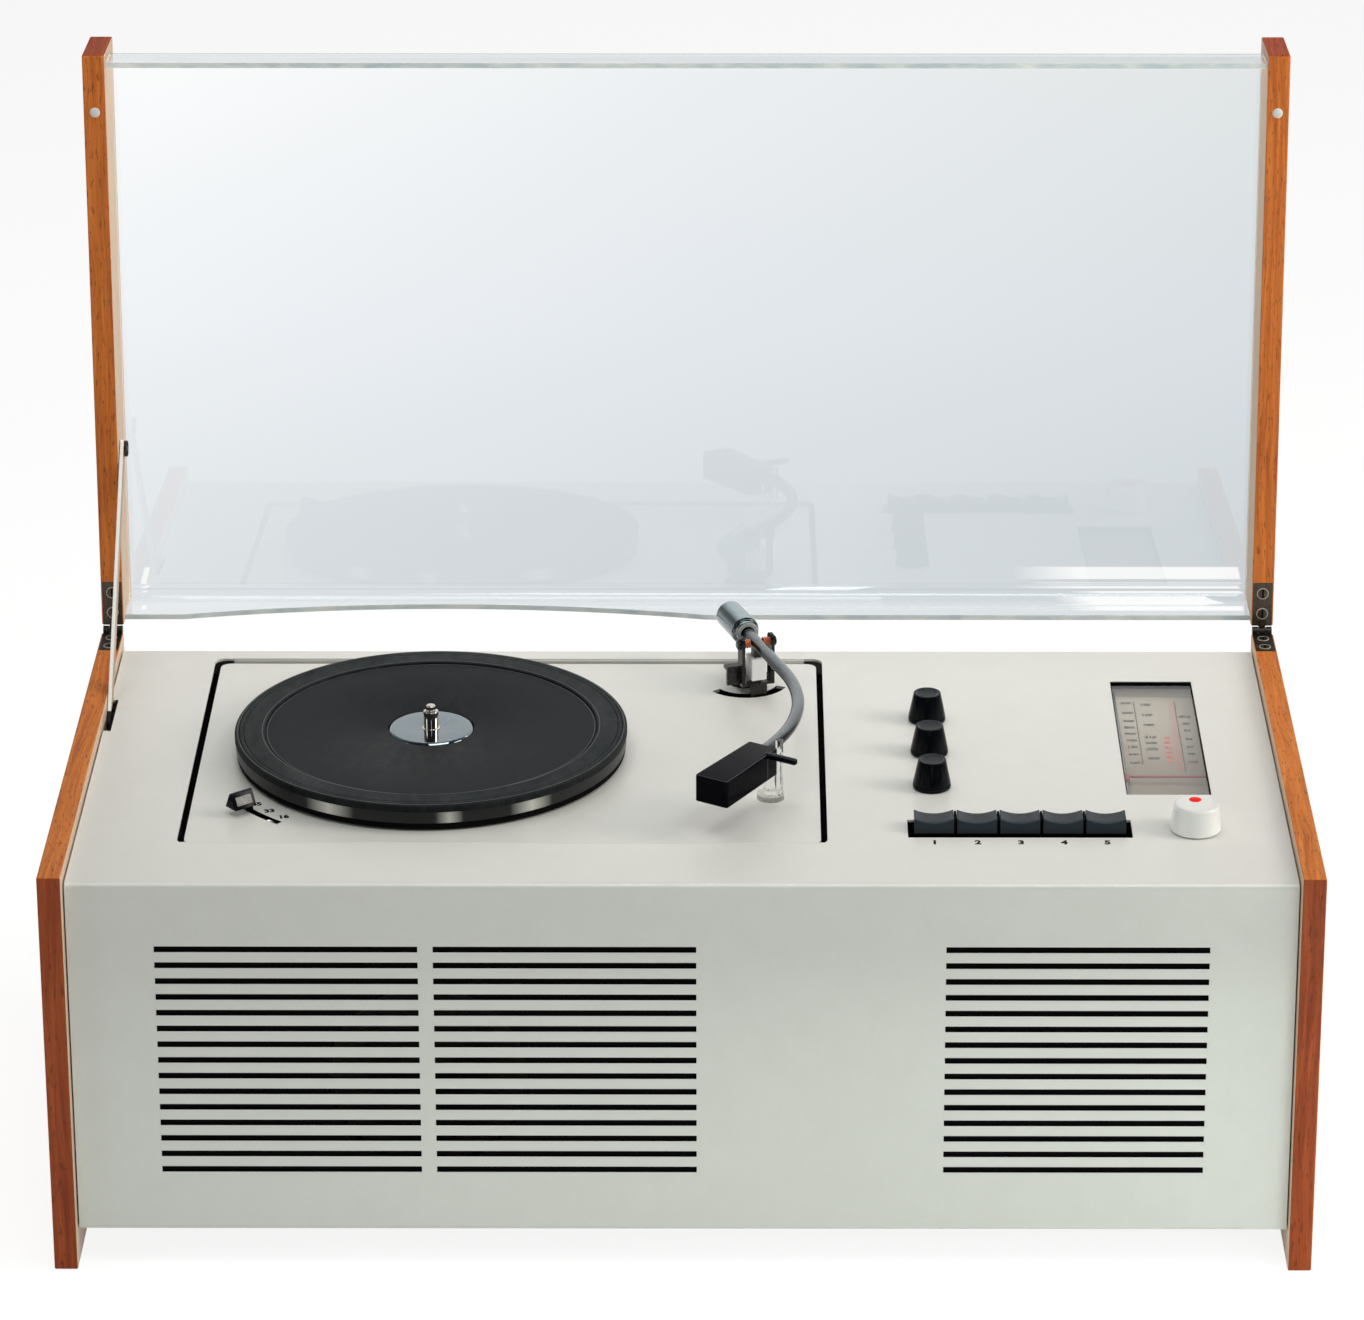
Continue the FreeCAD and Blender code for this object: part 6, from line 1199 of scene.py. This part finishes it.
# %% Black strips on the lower edges of the front slots: painted shade
SLOT_LENGTH, SLOT_PITCH, SLOT_ROWS = 120.2 * MM, 8.02 * MM, 15
FIRST_FOOT = TOP - 34.1 * MM
shade_pieces = []
for left in mm(-240.7, -113.6, 120.5):
    right = left + SLOT_LENGTH - 0.05 * MM
    plan = block(left + 0.05 * MM, right, FRONT + 0.01 * MM, FRONT + 1.4 * MM, 0.02 * MM, 2)
    for foot in FIRST_FOOT - SLOT_PITCH * np.arange(SLOT_ROWS):
        shade_pieces.append(slab(plan, foot - 0.02 * MM, foot + 0.08 * MM))
piece("slot_shade_strips", joined(*shade_pieces), "cabinet", "baffle_board")

# %% Black edge of the stay's notch: painted shade
notch = block_mm(-277.95, -276.6, 6.6, 44.6, 0.2)
piece("notch_shade_edge", slab(notch, TOP - 0.4 * MM, TOP + 0.04 * MM), "cabinet", "baffle_board")

# %% Black boards, cup and walls below the deck's openings: painted shade
SHADE_BOARD_HALF = 14 * MM
ARM_SLOT, LEVER_SLOT = (ARM, 15.95, -143, -20), (PLATTER, 104.85, 210.9, 231.3)
low, high = corners("deck_plate")
shade_pieces = []
for at in (low[0] - 1.5 * MM, high[0] + 1.5 * MM):
    plan = block(at - SHADE_BOARD_HALF, at + SHADE_BOARD_HALF, low[1] - 1 * MM, high[1] + 1 * MM, 0.2 * MM)
    shade_pieces.append(slab(plan, DECK - 7 * MM, DECK - 6 * MM))
cup = mm((4.4, -12.0), (24.5, -12.0), (24.5, -1.7), (24.0, -1.7), (24.0, -11.5), (4.4, -11.5), (4.4, -12.0))
shade_pieces.append(put_at(turned(cup, 64), (ARM[0], ARM[1], DECK)))
wall = mm((-0.05, -1.5), (0.05, -1.5), (0.05, -0.03), (-0.05, -0.03))
for middle, radius, first, last in (ARM_SLOT, LEVER_SLOT):
    way = np.radians(np.linspace(first, last, 60))
    path = radius * MM * np.stack((np.cos(way), np.sin(way), 0 * way), axis=1)
    shade_pieces.append(swept(path + (middle[0], middle[1], DECK), wall))
piece("deck_shade_boards", joined(*shade_pieces), "cabinet", "baffle_board")

# %% [markdown]
# ## Gland and speed lever
#
# The mains gland is a moulded ring in the rear wall, turned like the knobs. The speed lever's cap is a
# wedge: a loft through rounded rectangles that narrow upward, which keeps its ridge soft. Its pale label is
# a thin plate laid on the sloping face.

# %% Mains gland
gland = lathe(
    (3.2, -1.2, 0), (8.0, -1.2, 0.1), (8.0, 1.6, 0.6), (6.6, 2.5, 0.6), (4.0, 2.5, 0.3), (3.2, 1.7, 0.3),
    (3.2, -1.2, 0))
spot = centre("mains_gland")
spot[1] = corners("mains_gland")[1][1] - 2.5 * MM
gland = put_at(turned(gland, 64), spot, (1, 0, 0), (0, 1, 0))
piece("mains_gland_ring", gland, "cabinet", "black_plastic", stands_for=["mains_gland"])

# %% Speed lever cap and its label
LEVER = math.radians(220.0)
WEDGE = ((3.8, 3.5, 0.3), (4.1, 3.8, 0.0), (1.0, 10.6, 0.0), (0.75, 10.95, 0.0), (0.45, 11.1, 0.3))
out = np.array((math.cos(LEVER), math.sin(LEVER), 0.0))
rings = []
for half, lift, inset in WEDGE:
    plan = block_mm(105.4 + inset, 117.4 - inset, -half, half, 0.4)
    rings.append(np.concatenate((plan, np.full((len(plan), 1), lift * MM)), axis=1))
wedge = put_at(lofted(rings), axis, out)
piece("speed_lever_wedge", wedge, "speed_lever", "black_plastic", stands_for=["speed_lever_cap"])
slope = np.array((3.4, 7.6))
slope = slope / np.linalg.norm(slope)
label = slab(block_mm(-4.2, 4.2, -2.1, 2.1, 0.3), -0.1 * MM, 0.06 * MM)
sideways = np.cross(upward, out)
face_out = sideways * slope[1] + upward * slope[0]
label_at = axis + 111.4 * MM * out + 2.55 * MM * sideways + 7.3 * MM * upward
label = put_at(label, label_at, out, face_out)
piece("speed_lever_label", label, "speed_lever", "black_plastic", LABEL_GREY)

# %% [markdown]
# ## Print
#
# Plain numbers only: the turntable's speeds beside the lever's slot, one number below each key, and a
# tuning scale under the dial glass. An image would be the quick way to print; here each is a sheet of ink a
# few hundredths of a millimetre thick, which stays sharp at any distance.

# %% Numbers on the deck and below the keys
INK = 0.06 * MM
NUMBER_RADIUS, NUMBER_TILT = 100.4 * MM, 0.2
tilted = (math.cos(NUMBER_TILT), math.sin(NUMBER_TILT), 0.0)
speeds = []
for word, degrees in (("78", 212.4), ("45", 218.1), ("33", 223.9), ("16", 229.5)):
    where = math.radians(degrees)
    spot = axis + NUMBER_RADIUS * np.array((math.cos(where), math.sin(where), 0.0))
    speeds.append(put_at(printed(word, 3.6 * MM, INK), spot, tilted))
piece("speed_numbers", joined(*speeds), "cabinet", "dial_paint", INK_AND_SHADE_BLACK)
marks = []
for name in KEYS:
    spot = (centre(name)[0], corners(name)[0][1] - 9.0 * MM, TOP)
    marks.append(put_at(printed(name[-1], 4.2 * MM, INK), spot))
piece("key_numbers", joined(*marks), "cabinet", "dial_paint", INK_AND_SHADE_BLACK)

# %% Dial scale
LEFT_LINE, RIGHT_LINE = 219.4, 239.2


def stroke(start, end, width):
    """A straight ink line from start to end, both (x, y) in millimetres."""
    path = np.concatenate((mm(start, end), np.full((2, 1), DIAL_FLOOR)), axis=1)
    half = width / 2
    return swept(path, mm((-half, -0.02), (half, -0.02), (half, 0.05), (-half, 0.05)))


def numbers_at(x, size, rows):
    """Numbers of one size set about x, each at the y that stands beside it in rows; all in millimetres."""
    return [put_at(printed(word, size * MM, INK), (x * MM, y * MM, DIAL_FLOOR)) for word, y in rows.items()]


black = [stroke((line, 64.5), (line, end), 0.42) for line, end in ((LEFT_LINE, -13.0), (RIGHT_LINE, -21.0))]
black += numbers_at(LEFT_LINE - 3.9, 2.5, {
    "530": 61.7, "600": 49.8, "700": 39.6, "800": 31.7, "900": 24.0, "100": 16.0, "120": 8.2, "140": -0.8,
    "160": -10.9})
black += numbers_at(LEFT_LINE + 5.5, 2.7, {
    "150": 60.0, "160": 47.3, "180": 35.0, "210": 19.9, "240": 13.0, "270": 5.5, "300": -5.6})
black += numbers_at(RIGHT_LINE + 4.2, 2.5, {
    "87.5": 45.1, "89": 36.3, "91": 28.0, "94": 17.6, "97": 8.0, "99": -0.4, "100": -10.1})
for y in np.linspace(60, -10, 15):
    black.append(stroke((LEFT_LINE - 0.9, y), (LEFT_LINE, y), 0.4))
    black.append(stroke((RIGHT_LINE, y), (RIGHT_LINE + 0.9, y), 0.4))
piece("dial_scale_black", joined(*black), "cabinet", "dial_paint", INK_AND_SHADE_BLACK)
red = [stroke((RIGHT_LINE - a, 62.0), (RIGHT_LINE - b, -20.0), 0.16)
       for a, b in ((2.6, 3.1), (1.7, 2.1), (0.8, 0.9))]
red += numbers_at(RIGHT_LINE - 6.4, 2.4, {
    "10": 18.9, "20": 13.5, "30": 7.0, "40": 1.6, "50": -4.1, "60": -9.2})
piece("dial_scale_red", joined(*red), "cabinet", "red_paint", PRINT_RED)

# %% Black edge of the dial's window: painted shade at its cut edge
low, high = corners("dial_glass")
rows = []
for inset, lift in mm((2.52, -0.02), (2.52, 0.9), (3.0, 0.9), (3.0, -0.02), (2.52, -0.02)):
    left, near = low[:2] + inset
    right, back = high[:2] - inset
    level = high[2] + lift
    rows.append(((left, near, level), (right, near, level), (right, back, level), (left, back, level)))
window = (np.array(rows).reshape(-1, 3), quads(len(rows), len(rows[0])))
piece("dial_window_shade_edge", window, "cabinet", "baffle_board")

# %% [markdown]
# ## Last update
#
# The view layer is brought up to date once more at the end.

# %% Last update
bpy.context.view_layer.update()
